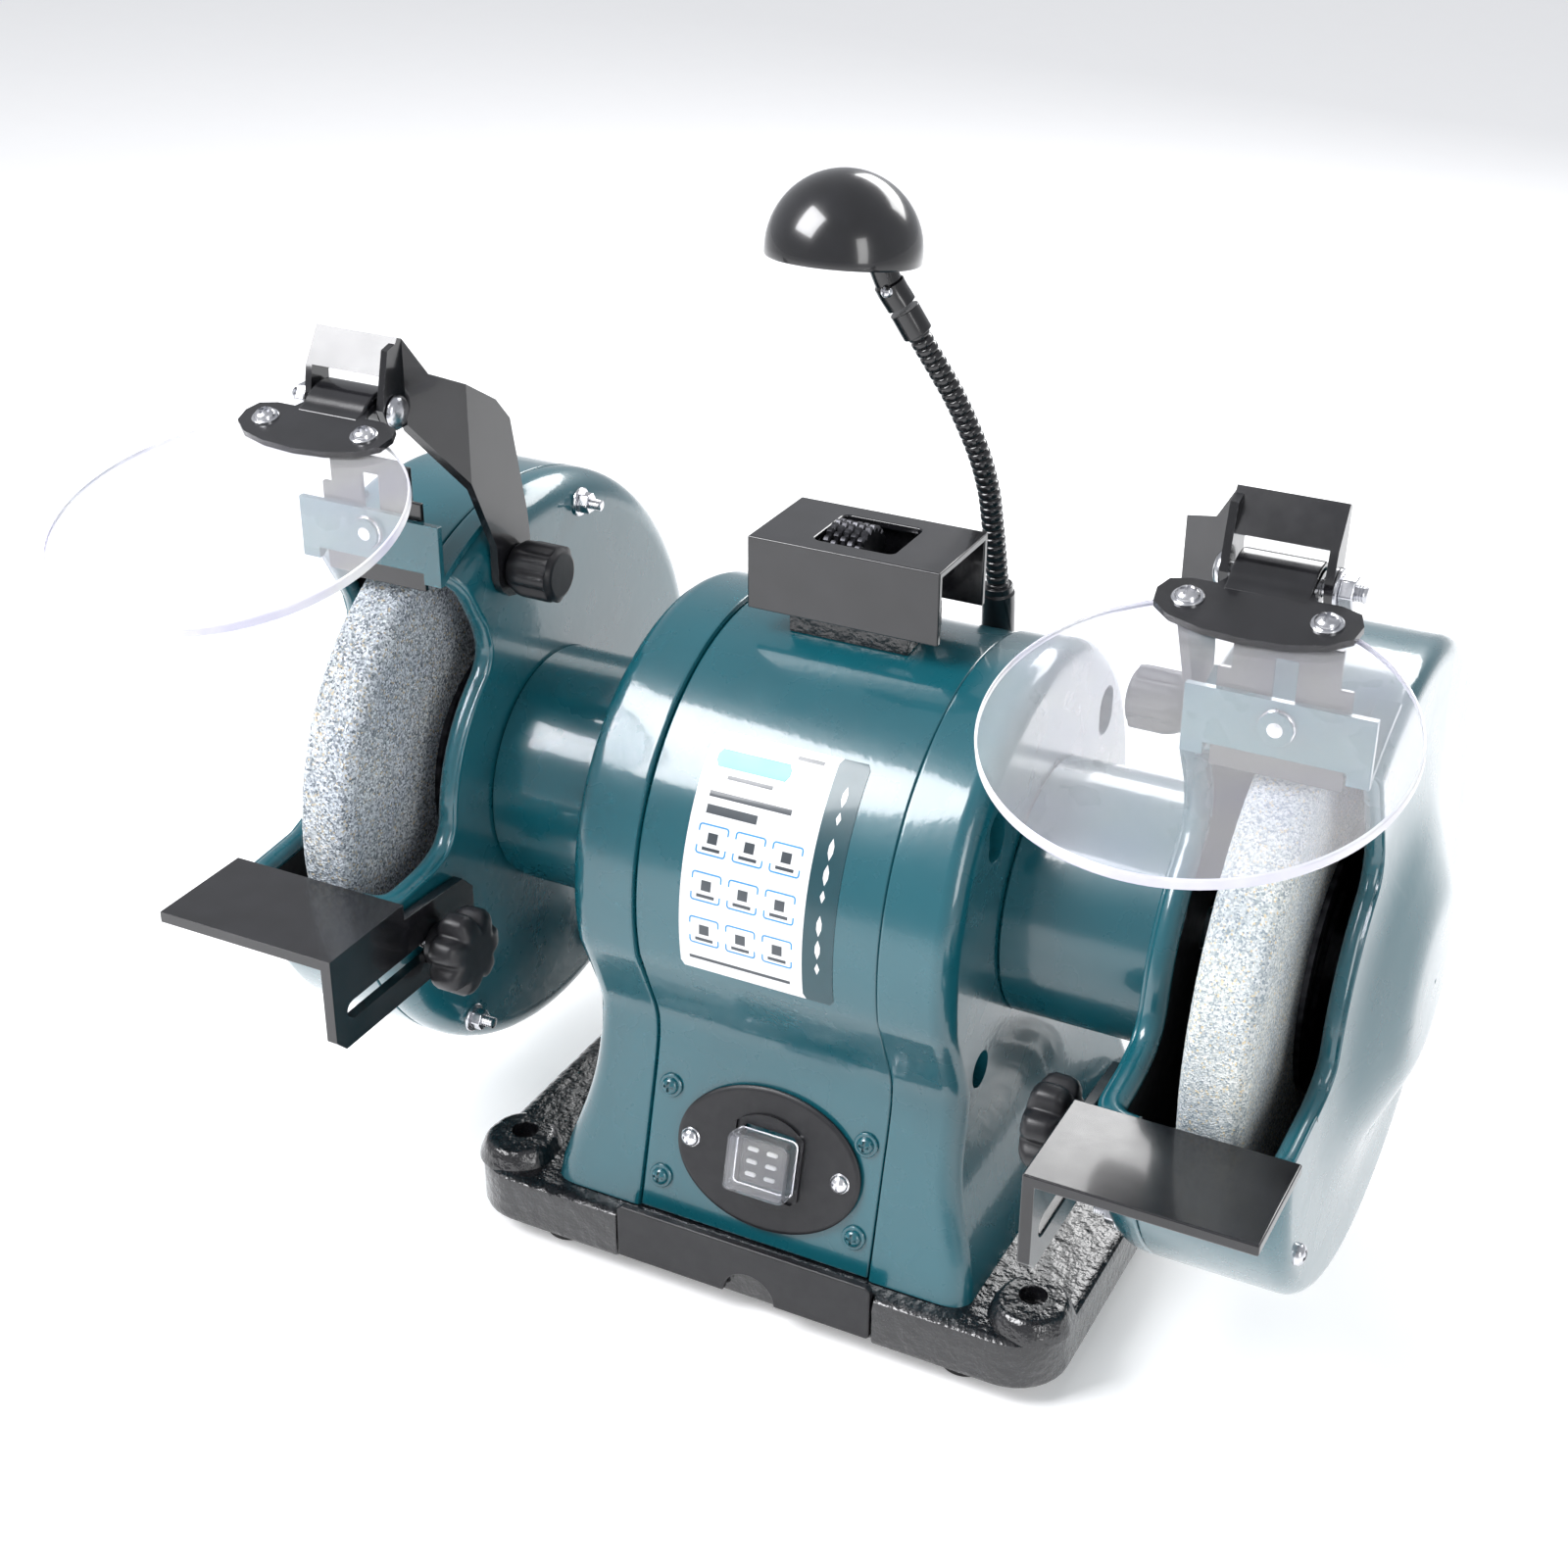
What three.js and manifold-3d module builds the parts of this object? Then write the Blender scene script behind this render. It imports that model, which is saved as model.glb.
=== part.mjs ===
// Bench grinder with two guarded wheels, a lamp on a flexible arm and a wheel dresser.
// Millimetres, +Z up, X along the spindle (right side positive), -Y towards the user.
// The origin is on the floor, below the middle of the motor.
import * as THREE from "three";
import { mergeVertices } from "three/addons/utils/BufferGeometryUtils.js";
import Module from "manifold-3d";

// ---- driving dimensions -------------------------------------------------------------------
const AXIS_Z = 150; // spindle height above the floor
const GAP = 0.3; // gap between two pieces that sit against each other
const RUN = 0.5; // running clearance of a turning or sliding fit
const ROUND = 36; // sides of a large turned piece

const STATOR_HALF = 45; // parting line between stator housing and end bell
const STATOR_R = 82.6;
const BELL_STEP = 1.6; // how far the end bells stand proud of the stator housing
const BELL_R = STATOR_R + BELL_STEP;
const BELL_FACE = 71; // outer face of an end bell
const BELL_FOOT = 82; // end of the bell's flared foot
const BORE_R = 70;
const PEDESTAL_WALL = 5;
const NECK_Y = 68; // half depth of the pedestal at its waist
const SOLE_Y = 84; // half depth of the pedestal at its sole

const BASE_HALF_X = 116;
const BASE_HALF_Y = 92.5;
const BASE_CORNER = 20;
const BASE_BOTTOM = 8;
const BASE_TOP = 28;
const BASE_WALL = 6;
const LUG_TOP = 34.5;
const LUG_X = 101.5;
const LUG_Y = 72;
const LUG_R = 14;
const BOLT_HOLE_R = 4.5;
const FOOT_X = 80;
const FOOT_Y = 76;
const FOOT_R = 11;
const COVER_HALF_X = 50;
const COVER_TOP = 32;
const COVER_T = 3;
const NOTCH_R = 10;
const INLET_R = 5.5;
const INLET_X = 48;
const INLET_Z = (BASE_BOTTOM + BASE_TOP - BASE_WALL) / 2;

const SHAFT_R = 10;
const ARBOR_R = 8;
const SHAFT_END = 195;
const BEARING_R = 23.5;
const BEARING_W = 10;
const CORE_R = BORE_R - GAP;
const CORE_HALF = 35;
const ROTOR_R = 38.5;
const AIR_GAP = 1;

const TUBE_R = 44.6;
const TUBE_WALL = 3;
const GUARD_IN = 127.3; // inboard face of a wheel guard
const GUARD_SEAM = 142; // seam between guard casting and guard cover
const GUARD_OUT = 190; // outer face of the guard cover
const WHEEL_R = 100;
const WHEEL_CLEAR = 10; // from the wheel's rim to the outside of its guard
const GUARD_R = WHEEL_R + WHEEL_CLEAR;
const GUARD_WALL = 3.5;
const CUT_ARC_R = 67; // arc of the opening round the hub
const CUT_TOP_DEG = 60.5;
const CUT_LOW_Z = -4;
const CUT_RIM_Z = -11;
const BULGE_OUT = 205;

const WHEEL_IN = 151;
const WHEEL_W = 21;
const WHEEL_BEVEL = 3;
const FLANGE_R = 46;
const FLANGE_W = 5.7;
const NUT_R = 15;
const NUT_W = 12;

const REST_IN = 122.3;
const REST_OUT = 193;
const REST_GAP = 7.5; // from the wheel's rim to the back of the rest
const REST_BACK = -(WHEEL_R + REST_GAP);
const REST_DEPTH = 42;
const REST_T = 4;
const REST_TOP = AXIS_Z - 5;
const REST_DROP = 37;
const REST_SLOT_W = 7;
const STUD_INSET = 18; // from the guard's rim in to the clamping stud
const STUD_Y = -(GUARD_R - STUD_INSET);
const STUD_Z = AXIS_Z - 29;
const STUD_R = 3;
const STAR_R = 16;
const STAR_W = 15;

const SPARK_X0 = 131;
const SPARK_X1 = 188;
const SPARK_MID = (SPARK_X0 + SPARK_X1) / 2;
const MOUTH_TOP_Y = -GUARD_R * Math.cos((CUT_TOP_DEG * Math.PI) / 180);
const MOUTH_TOP_Z = AXIS_Z + GUARD_R * Math.sin((CUT_TOP_DEG * Math.PI) / 180);
const SPARK_AHEAD = 6.83; // bridge plate in front of the mouth's top edge
const SPARK_ABOVE = 1.26;
const SPARK_H = 18;
const SPARK_Y = MOUTH_TOP_Y - SPARK_AHEAD;
const SPARK_T = 2.5;
const SPARK_Z0 = MOUTH_TOP_Z + SPARK_ABOVE;
const SPARK_Z1 = SPARK_Z0 + SPARK_H;
const SPARK_BOLT_Z = SPARK_Z0 + 10;

const PIVOT_Y = -26;
const PIVOT_INSET = 20; // from the guard's rim down to the arm's pivot
const PIVOT_Z = AXIS_Z + GUARD_R - PIVOT_INSET;
const ARM_T = 3;
const ARM_X = GUARD_IN - 0.6 - ARM_T;
const FORK_IN = 141;
const FORK_OUT = 173;
const FORK_T = 2.5;
const HINGE_Y = PIVOT_Y - 40;
const HINGE_Z = PIVOT_Z + 66;
const HINGE_R = 2.5;
const ARM_KNOB_R = 10.5;
const ARM_KNOB_W = 19;
const SHIELD_TILT = 14; // degrees, front edge down
const SHIELD_R = 57.5;
const SHIELD_T = 4.5;
const SHIELD_REACH = 71;

const SWITCH_X = 3;
const SWITCH_Z = AXIS_Z - 90;
const BEZEL_A = 35.5;
const BEZEL_B = 26.5;
const BEZEL_T = 3.5;
const COVER_BOX = 24;

const BRACKET_HALF_X = 35;
const BRACKET_HALF_Y = 20;
const MOTOR_TOP = AXIS_Z + STATOR_R;
const BLOCK_LOW = MOTOR_TOP - 6.6;
const BLOCK_TOP = MOTOR_TOP + 8.4;
const BRACKET_TOP = MOTOR_TOP + 33.4;
const BRACKET_LOW = MOTOR_TOP + 7.4;
const BRACKET_T = 2.5;
const CUTTER_R = 13;
const CUTTER_Z = MOTOR_TOP + 23.4;
const CUTTER_X0 = -13;
const CUTTER_W = 15;

const NECK_R = 4;
const NECK_SPLIT = 0.5; // where the flexible neck bends, as a share of its length
const FLEX_GAP = 2.4; // room for the bend
const HEAD_GAP = 2; // room for the lamp head's swivel
const SHADE_R = 26;
const SHADE_T = 1.5;
const SHADE_AT = [-18, 15, AXIS_Z + 206];
const SHADE_LEAN = 8;

const DEG = Math.PI / 180;
const wasm = await Module();
wasm.setup();

// ---- materials ----------------------------------------------------------------------------
function paint(color, roughness, metalness) {
  return new THREE.MeshStandardMaterial({ color, roughness, metalness });
}
const TEAL = paint(0x17596a, 0.25, 0.1);
const CAST_BLACK = paint(0x15161a, 0.45, 0.2);
const SATIN_BLACK = paint(0x1c1c20, 0.4, 0.2);
const PLASTIC_BLACK = paint(0x1a1b1f, 0.5, 0);
const RUBBER = paint(0x101012, 0.85, 0);
const STEEL = paint(0xb9bcc0, 0.35, 0.9);
const IRON = paint(0x4a4c52, 0.5, 0.8);
const COPPER = paint(0xa8602c, 0.4, 0.8);
const GRIT_GREY = paint(0x8b9096, 0.95, 0);
const GRIT_PALE = paint(0xb3b9bb, 0.95, 0);
const CLEAR = paint(0xe4e8f2, 0.08, 0);
const LAMP_WHITE = paint(0xf2f0e6, 0.3, 0);

// ---- solids -------------------------------------------------------------------------------
function solid(geometry) {
  const g = geometry.index ? geometry.toNonIndexed() : geometry.clone();
  g.deleteAttribute("normal");
  g.deleteAttribute("uv");
  const merged = mergeVertices(g, 1e-4);
  const tris = new Uint32Array(merged.index.array);
  const make = () =>
    new wasm.Manifold(
      new wasm.Mesh({
        numProp: 3,
        vertProperties: new Float32Array(merged.attributes.position.array),
        triVerts: tris,
      }),
    );
  const made = make();
  if (made.volume() > 0) return made;
  for (let i = 0; i < tris.length; i += 3) {
    [tris[i + 1], tris[i + 2]] = [tris[i + 2], tris[i + 1]];
  }
  return make();
}

function geometryOf(made) {
  const m = made.getMesh();
  const n = m.numProp;
  const xyz = new Float32Array(m.numVert * 3);
  for (let i = 0; i < m.numVert; i++) {
    xyz.set(m.vertProperties.subarray(i * n, i * n + 3), i * 3);
  }
  const g = new THREE.BufferGeometry();
  g.setAttribute("position", new THREE.BufferAttribute(xyz, 3));
  g.setIndex(new THREE.BufferAttribute(new Uint32Array(m.triVerts), 1));
  g.computeVertexNormals();
  return g;
}

const join = (...parts) => parts.reduce((a, b) => a.add(b));
const cut = (from, ...parts) => parts.reduce((a, b) => a.subtract(b), from);

function box(x0, x1, y0, y1, z0, z1) {
  const g = new THREE.BoxGeometry(x1 - x0, y1 - y0, z1 - z0);
  g.translate((x0 + x1) / 2, (y0 + y1) / 2, (z0 + z1) / 2);
  return solid(g);
}

// A source point (a, b, c) goes to the world axes named by the letters, in that order.
const AXES = {
  x: new THREE.Vector3(1, 0, 0),
  y: new THREE.Vector3(0, 1, 0),
  z: new THREE.Vector3(0, 0, 1),
};
function turned(geometry, letters) {
  const [a, b, c] = letters.split("").map((l) => AXES[l]);
  return geometry.applyMatrix4(new THREE.Matrix4().makeBasis(a, b, c));
}

function shapeOf(points) {
  return new THREE.Shape(points.map(([a, b]) => new THREE.Vector2(a, b)));
}

// Prism along X of a (y, z) outline.
function alongX(points, x0, x1, bevel = 0, segments = 2) {
  const g = new THREE.ExtrudeGeometry(shapeOf(points), {
    depth: x1 - x0 - 2 * bevel,
    bevelEnabled: bevel > 0,
    bevelSize: bevel,
    bevelThickness: bevel,
    bevelOffset: -bevel,
    bevelSegments: segments,
    steps: 1,
  });
  g.translate(0, 0, x0 + bevel);
  return solid(turned(g, "yzx"));
}

// Prism along Z of an (x, y) outline.
function alongZ(points, z0, z1, bevel = 0) {
  const g = new THREE.ExtrudeGeometry(shapeOf(points), {
    depth: z1 - z0 - 2 * bevel,
    bevelEnabled: bevel > 0,
    bevelSize: bevel,
    bevelThickness: bevel,
    bevelOffset: -bevel,
    bevelSegments: 1,
    steps: 1,
  });
  g.translate(0, 0, z0 + bevel);
  return solid(g);
}

// Prism along Y of a (z, x) outline.
function alongY(points, y0, y1) {
  const g = new THREE.ExtrudeGeometry(shapeOf(points), {
    depth: y1 - y0,
    bevelEnabled: false,
    steps: 1,
  });
  g.translate(0, 0, y0);
  return solid(turned(g, "zxy"));
}

// Closed (radius, x) outline turned round an axis that runs along X through (y, z).
function latheX(points, y, z, segments) {
  const ring = points.concat([points[0]]).map(([r, x]) => new THREE.Vector2(r, x));
  const g = new THREE.LatheGeometry(ring, segments);
  turned(g, "zxy");
  g.translate(0, y, z);
  return solid(g);
}

function rodX(r, x0, x1, y, z, segments = 24) {
  const g = new THREE.CylinderGeometry(r, r, x1 - x0, segments);
  turned(g, "zxy");
  g.translate((x0 + x1) / 2, y, z);
  return solid(g);
}

function rodY(r, y0, y1, x, z, segments = 20) {
  const g = new THREE.CylinderGeometry(r, r, y1 - y0, segments);
  g.translate(x, (y0 + y1) / 2, z);
  return solid(g);
}

function rodZ(r, z0, z1, x, y, segments = 24, top = r) {
  const g = new THREE.CylinderGeometry(top, r, z1 - z0, segments);
  turned(g, "yzx");
  g.translate(x, y, (z0 + z1) / 2);
  return solid(g);
}

function arc(cy, cz, r, from, to, steps) {
  const out = [];
  for (let i = 0; i <= steps; i++) {
    const a = (from + ((to - from) * i) / steps) * DEG;
    out.push([cy + r * Math.cos(a), cz + r * Math.sin(a)]);
  }
  return out;
}

function roundedRect(a0, a1, b0, b1, r, steps = 4) {
  return [
    ...arc(a1 - r, b1 - r, r, 0, 90, steps),
    ...arc(a0 + r, b1 - r, r, 90, 180, steps),
    ...arc(a0 + r, b0 + r, r, 180, 270, steps),
    ...arc(a1 - r, b0 + r, r, 270, 360, steps),
  ];
}

// ---- group --------------------------------------------------------------------------------
const group = new THREE.Group();
group.name = "bench_grinder";

function add(name, made, material) {
  const mesh = new THREE.Mesh(geometryOf(made), material.clone());
  mesh.name = name;
  group.add(mesh);
  return mesh;
}

// The made solid is the right-hand one; its mirror image becomes the left-hand one.
function addPair(name, made, material, leftMaterial = material) {
  add("right_" + name, made, material);
  add("left_" + name, made, leftMaterial).scale.x = -1;
}

// ---- motor body ---------------------------------------------------------------------------
// Outline of the motor body from the side: round above, waisted, splayed to its sole.
function bodyOutline(r, grow) {
  const side = [
    [r * 0.962, -r * 0.27],
    [NECK_Y + 3.4 + grow, -41],
    [NECK_Y + grow, -52],
    [NECK_Y + 1.2 + grow, -63],
    [SOLE_Y + grow, BASE_TOP + GAP - AXIS_Z],
  ];
  const right = side.map(([y, z]) => [y, AXIS_Z + z]);
  const left = right.map(([y, z]) => [-y, z]);
  return [...arc(0, AXIS_Z, r, -8, 188, 24), ...left, ...right.reverse()];
}

// The hollow below the bore, open at the sole.
function pedestalHollow(x0, x1) {
  const top = AXIS_Z - BORE_R - 6;
  const outline = [
    [-NECK_Y + PEDESTAL_WALL, top],
    [-SOLE_Y + PEDESTAL_WALL + 1, BASE_TOP - 1],
    [SOLE_Y - PEDESTAL_WALL - 1, BASE_TOP - 1],
    [NECK_Y - PEDESTAL_WALL, top],
  ];
  return alongX(outline, x0, x1);
}

function statorHousing() {
  const body = alongX(bodyOutline(STATOR_R, 0), -STATOR_HALF, STATOR_HALF);
  const bore = rodX(BORE_R, -STATOR_HALF - 1, STATOR_HALF + 1, 0, AXIS_Z, 32);
  return cut(body, bore, pedestalHollow(-STATOR_HALF - 1, STATOR_HALF + 1));
}

function endBell() {
  const x0 = STATOR_HALF + GAP;
  const outline = bodyOutline(BELL_R, 0.8);
  const main = alongX(outline, x0 - 3, BELL_FACE, 3, 2);
  const foot = alongY(
    [
      [AXIS_Z - 58, BELL_FACE - 4],
      [AXIS_Z - 58, BELL_FACE - 3],
      [AXIS_Z - 88, BELL_FACE + 2],
      [AXIS_Z - 110, BELL_FACE + 6],
      [BASE_TOP + GAP, BELL_FOOT],
      [BASE_TOP + GAP, BELL_FACE - 4],
    ],
    -SOLE_Y - 5,
    SOLE_Y + 5,
  ).intersect(alongX(outline, x0, BELL_FOOT + 1));
  const wall = BELL_FACE - 9;
  const recesses = [
    [-50, 46],
    [50, 46],
    [-54, -44],
    [54, -44],
  ].map(([y, z]) => rodX(6, BELL_FACE - 5, BELL_FACE + 9, y, AXIS_Z + z, 12));
  return cut(
    join(main, foot),
    box(x0 - 5, x0, -100, 100, 0, 300),
    box(0, 200, -100, 100, 0, BASE_TOP + GAP),
    rodX(BORE_R, x0 - 1, wall, 0, AXIS_Z, 32),
    rodX(BEARING_R + GAP, wall - 1, BELL_FACE + 1, 0, AXIS_Z, 32),
    pedestalHollow(x0 - 1, wall),
    ...recesses,
  );
}

function statorCore() {
  const ring = cut(
    rodX(CORE_R, -CORE_HALF, CORE_HALF, 0, AXIS_Z, 32),
    rodX(ROTOR_R + AIR_GAP, -CORE_HALF - 1, CORE_HALF + 1, 0, AXIS_Z, 24),
  );
  return cut(ring, ...coilBars(5, CORE_HALF + 1));
}

function coilBars(r, half) {
  return [0, 60, 120, 180, 240, 300].map((deg) =>
    rodX(r, -half, half, 52 * Math.cos(deg * DEG), AXIS_Z + 52 * Math.sin(deg * DEG), 6),
  );
}

// Two end rings joined by the bars that run through the core.
function statorWinding() {
  const x0 = CORE_HALF + 1;
  const x1 = CORE_HALF + 15;
  const outline = [
    [44, x0],
    [61, x0],
    [61, x1 - 3],
    [52, x1],
  ];
  const back = outline.map(([r, x]) => [r, -x]);
  return join(
    latheX(outline, 0, AXIS_Z, 20),
    latheX(back, 0, AXIS_Z, 20),
    ...coilBars(5 - GAP, CORE_HALF + 3),
  );
}

function rotorCore() {
  return cut(
    rodX(ROTOR_R, -CORE_HALF, CORE_HALF, 0, AXIS_Z, 24),
    rodX(SHAFT_R + GAP, -CORE_HALF - 1, CORE_HALF + 1, 0, AXIS_Z, 24),
  );
}

function bearing() {
  const x0 = BELL_FACE - BEARING_W;
  return cut(
    rodX(BEARING_R, x0, BELL_FACE - 0.5, 0, AXIS_Z, 32),
    rodX(SHAFT_R + GAP, x0 - 1, BELL_FACE, 0, AXIS_Z, 24),
  );
}

function spindleShaft() {
  const half = [
    [SHAFT_R, 0],
    [SHAFT_R, BELL_FACE + 3],
    [SHAFT_R + 2, BELL_FACE + 3],
    [SHAFT_R + 2, WHEEL_IN - FLANGE_W - 2],
    [ARBOR_R, WHEEL_IN - FLANGE_W - 2],
    [ARBOR_R, SHAFT_END - 1],
    [ARBOR_R - 1, SHAFT_END],
  ];
  const back = half.slice(1).map(([r, x]) => [r, -x]);
  const outline = [[0, SHAFT_END], [0, -SHAFT_END], ...back.reverse(), ...half];
  const g = new THREE.LatheGeometry(
    outline.slice(1).concat([outline[0]]).map(([r, x]) => new THREE.Vector2(r, x)),
    16,
  );
  turned(g, "zxy");
  g.translate(0, 0, AXIS_Z);
  return solid(g);
}

function spindleTube() {
  const x0 = BELL_FACE + GAP;
  const x1 = GUARD_IN - GAP;
  return cut(
    rodX(TUBE_R, x0, x1, 0, AXIS_Z, 32),
    rodX(TUBE_R - TUBE_WALL, x0 - 1, x1 + 1, 0, AXIS_Z, 24),
  );
}

// ---- wheels on the spindle ----------------------------------------------------------------
function wheel() {
  const x0 = WHEEL_IN;
  const x1 = WHEEL_IN + WHEEL_W;
  const outline = [
    [ARBOR_R + GAP, x0],
    [WHEEL_R - WHEEL_BEVEL, x0],
    [WHEEL_R, x0 + WHEEL_BEVEL],
    [WHEEL_R, x1 - WHEEL_BEVEL],
    [WHEEL_R - WHEEL_BEVEL, x1],
    [ARBOR_R + GAP, x1],
  ];
  return latheX(outline, 0, AXIS_Z, ROUND);
}

function flange(wheelSide, away) {
  const step = away > wheelSide ? 1 : -1;
  const outline = [
    [ARBOR_R + GAP, wheelSide],
    [FLANGE_R, wheelSide],
    [FLANGE_R, wheelSide + 2.5 * step],
    [FLANGE_R - 20, away],
    [ARBOR_R + GAP, away],
  ];
  return latheX(outline, 0, AXIS_Z, 28);
}

function spindleNut() {
  const x0 = WHEEL_IN + WHEEL_W + FLANGE_W + GAP;
  return cut(
    rodX(NUT_R, x0, x0 + NUT_W, 0, AXIS_Z, 6),
    rodX(ARBOR_R + GAP, x0 - 1, x0 + NUT_W + 1, 0, AXIS_Z, 20),
  );
}

// ---- wheel guards -------------------------------------------------------------------------
// The open front of a guard: a wedge that ends in an arc round the hub.
function guardMouth(x0, x1) {
  const far = GUARD_R + 30;
  const rim = GUARD_R + 2;
  const lowEnd = CUT_RIM_Z + ((CUT_RIM_Z - CUT_LOW_Z) * (far - rim)) / (rim - CUT_ARC_R);
  const hub = arc(0, AXIS_Z, CUT_ARC_R, 180 - CUT_TOP_DEG, 183.4, 7);
  const top = 180 - CUT_TOP_DEG;
  const outline = [
    ...hub,
    [-far, AXIS_Z + lowEnd],
    [-far, AXIS_Z + 150],
    [2 * far * Math.cos(top * DEG) * 0.7, AXIS_Z + 2 * far * Math.sin(top * DEG) * 0.7],
  ];
  return alongX(outline, x0, x1);
}

function guardCasting() {
  const x = GUARD_IN;
  const ri = GUARD_R - GUARD_WALL;
  const outline = [
    [SHAFT_R + 4, x],
    [GUARD_R - 17, x],
    [GUARD_R - 5, x + 2.6],
    [GUARD_R, x + 8],
    [GUARD_R, GUARD_SEAM],
    [ri, GUARD_SEAM],
    [ri, x + 9],
    [GUARD_R - 18, x + 4],
    [SHAFT_R + 4, x + 4],
  ];
  const shell = latheX(outline, 0, AXIS_Z, ROUND);
  const stud = rodX(STUD_R + 0.6, x - 5, x + 20, STUD_Y, STUD_Z, 12);
  const pivot = rodX(STUD_R + 0.6, x - 5, x + 20, PIVOT_Y, PIVOT_Z, 12);
  return cut(shell, guardMouth(x - 5, GUARD_SEAM + 5), stud, pivot);
}

function guardCover() {
  const ri = GUARD_R - GUARD_WALL;
  const outline = [
    [ri, GUARD_SEAM + GAP],
    [GUARD_R, GUARD_SEAM + GAP],
    [GUARD_R, GUARD_OUT - 6],
    [GUARD_R - 5, GUARD_OUT],
    [74, GUARD_OUT],
    [60, GUARD_OUT + 3],
    [38, BULGE_OUT - 2],
    [26, BULGE_OUT],
    [0, BULGE_OUT],
    [0, BULGE_OUT - 2.5],
    [25, BULGE_OUT - 2.5],
    [58, GUARD_OUT + 0.5],
    [74, GUARD_OUT - 2.5],
    [ri - 2, GUARD_OUT - 2.5],
  ];
  const ring = outline.concat([outline[0]]).map(([r, x]) => new THREE.Vector2(r, x));
  const g = new THREE.LatheGeometry(ring, ROUND);
  turned(g, "zxy");
  g.translate(0, 0, AXIS_Z);
  return cut(solid(g), guardMouth(GUARD_SEAM - 5, BULGE_OUT + 5));
}

// ---- base ---------------------------------------------------------------------------------
const corners = (x, y) => [
  [x, y],
  [-x, y],
  [-x, -y],
  [x, -y],
];

function baseCasting() {
  const outline = roundedRect(
    -BASE_HALF_X, BASE_HALF_X, -BASE_HALF_Y, BASE_HALF_Y, BASE_CORNER, 4,
  );
  const slab = alongZ(outline, BASE_BOTTOM, BASE_TOP, 1.5);
  const lugs = corners(LUG_X - 2, LUG_Y + 2).map(([x, y]) =>
    rodZ(LUG_R, BASE_TOP - 3, LUG_TOP, x, y, 16, LUG_R - 2),
  );
  const holes = corners(LUG_X, LUG_Y).map(([x, y]) =>
    rodZ(BOLT_HOLE_R, 0, LUG_TOP + 5, x, y, 10),
  );
  const hollow = box(
    -BASE_HALF_X / 2 - 6, BASE_HALF_X / 2 + 6,
    -BASE_HALF_Y + BASE_WALL, BASE_HALF_Y - BASE_WALL,
    BASE_BOTTOM - 1, BASE_TOP - BASE_WALL,
  );
  const wiring = box(-42, 42, -60, 60, BASE_BOTTOM, BASE_TOP + 1);
  const window_ = box(-COVER_HALF_X - GAP, COVER_HALF_X + GAP,
    -BASE_HALF_Y - 1, -BASE_HALF_Y + COVER_T, BASE_BOTTOM - 1, BASE_TOP + 1);
  const doorway = box(-COVER_HALF_X + 5, COVER_HALF_X - 5,
    -BASE_HALF_Y - 1, -BASE_HALF_Y + BASE_WALL + 1, BASE_BOTTOM - 1, BASE_TOP - 5);
  const inlet = rodY(INLET_R + GAP, BASE_HALF_Y - BASE_WALL - 1, BASE_HALF_Y + 1,
    INLET_X, INLET_Z, 20);
  return cut(join(slab, ...lugs), ...holes, hollow, wiring, window_, doorway, inlet);
}

function rubberFoot(x, y) {
  return rodZ(FOOT_R - 1.5, 0, BASE_BOTTOM - GAP, x, y, 14, FOOT_R);
}

function baseCover() {
  const y1 = -BASE_HALF_Y + COVER_T - GAP;
  const plate = box(-COVER_HALF_X, COVER_HALF_X, y1 - COVER_T, y1, BASE_BOTTOM + 2, COVER_TOP);
  return cut(plate, rodY(NOTCH_R, -100, -80, SWITCH_X, BASE_BOTTOM + 2, 24));
}

// The gland a supply cord would come through; the cord itself is not part of the object.
function cordInlet() {
  const y0 = BASE_HALF_Y - BASE_WALL;
  const body = rodY(INLET_R, y0, BASE_HALF_Y + 6, INLET_X, INLET_Z, 12);
  const lip = rodY(INLET_R + 2, BASE_HALF_Y + GAP, BASE_HALF_Y + 3, INLET_X, INLET_Z, 12);
  return cut(join(body, lip), rodY(3.5, y0 - 1, BASE_HALF_Y + 7, INLET_X, INLET_Z, 10));
}

// ---- switch -------------------------------------------------------------------------------
const FRONT_SLOPE = Math.atan2(SOLE_Y - NECK_Y - 1.2, AXIS_Z - 63 - BASE_TOP - GAP);
const FRONT_Y =
  -NECK_Y - 1.2 - Math.tan(FRONT_SLOPE) * (AXIS_Z - 63 - SWITCH_Z);

// Local frame of the sloping front: x right, y up the slope, z out of the surface.
function onFront(geometry) {
  const up = new THREE.Vector3(0, Math.sin(FRONT_SLOPE), Math.cos(FRONT_SLOPE));
  const out = new THREE.Vector3(0, -Math.cos(FRONT_SLOPE), Math.sin(FRONT_SLOPE));
  const m = new THREE.Matrix4().makeBasis(AXES.x, up, out);
  m.setPosition(SWITCH_X, FRONT_Y, SWITCH_Z);
  return solid(geometry.applyMatrix4(m));
}

function frontPlate(points, z0, z1) {
  const g = new THREE.ExtrudeGeometry(shapeOf(points), {
    depth: z1 - z0,
    bevelEnabled: false,
    steps: 1,
  });
  g.translate(0, 0, z0);
  return onFront(g);
}

function ellipse(a, b, steps) {
  return arc(0, 0, 1, 0, 360 - 360 / steps, steps - 1).map(([u, v]) => [a * u, b * v]);
}

function switchBezel() {
  const plate = frontPlate(ellipse(BEZEL_A, BEZEL_B, 40), GAP, GAP + BEZEL_T);
  const half = COVER_BOX / 2 - 2.5;
  return cut(plate, frontPlate(roundedRect(-half, half, -half, half, 1), -1, BEZEL_T + 2));
}

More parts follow.
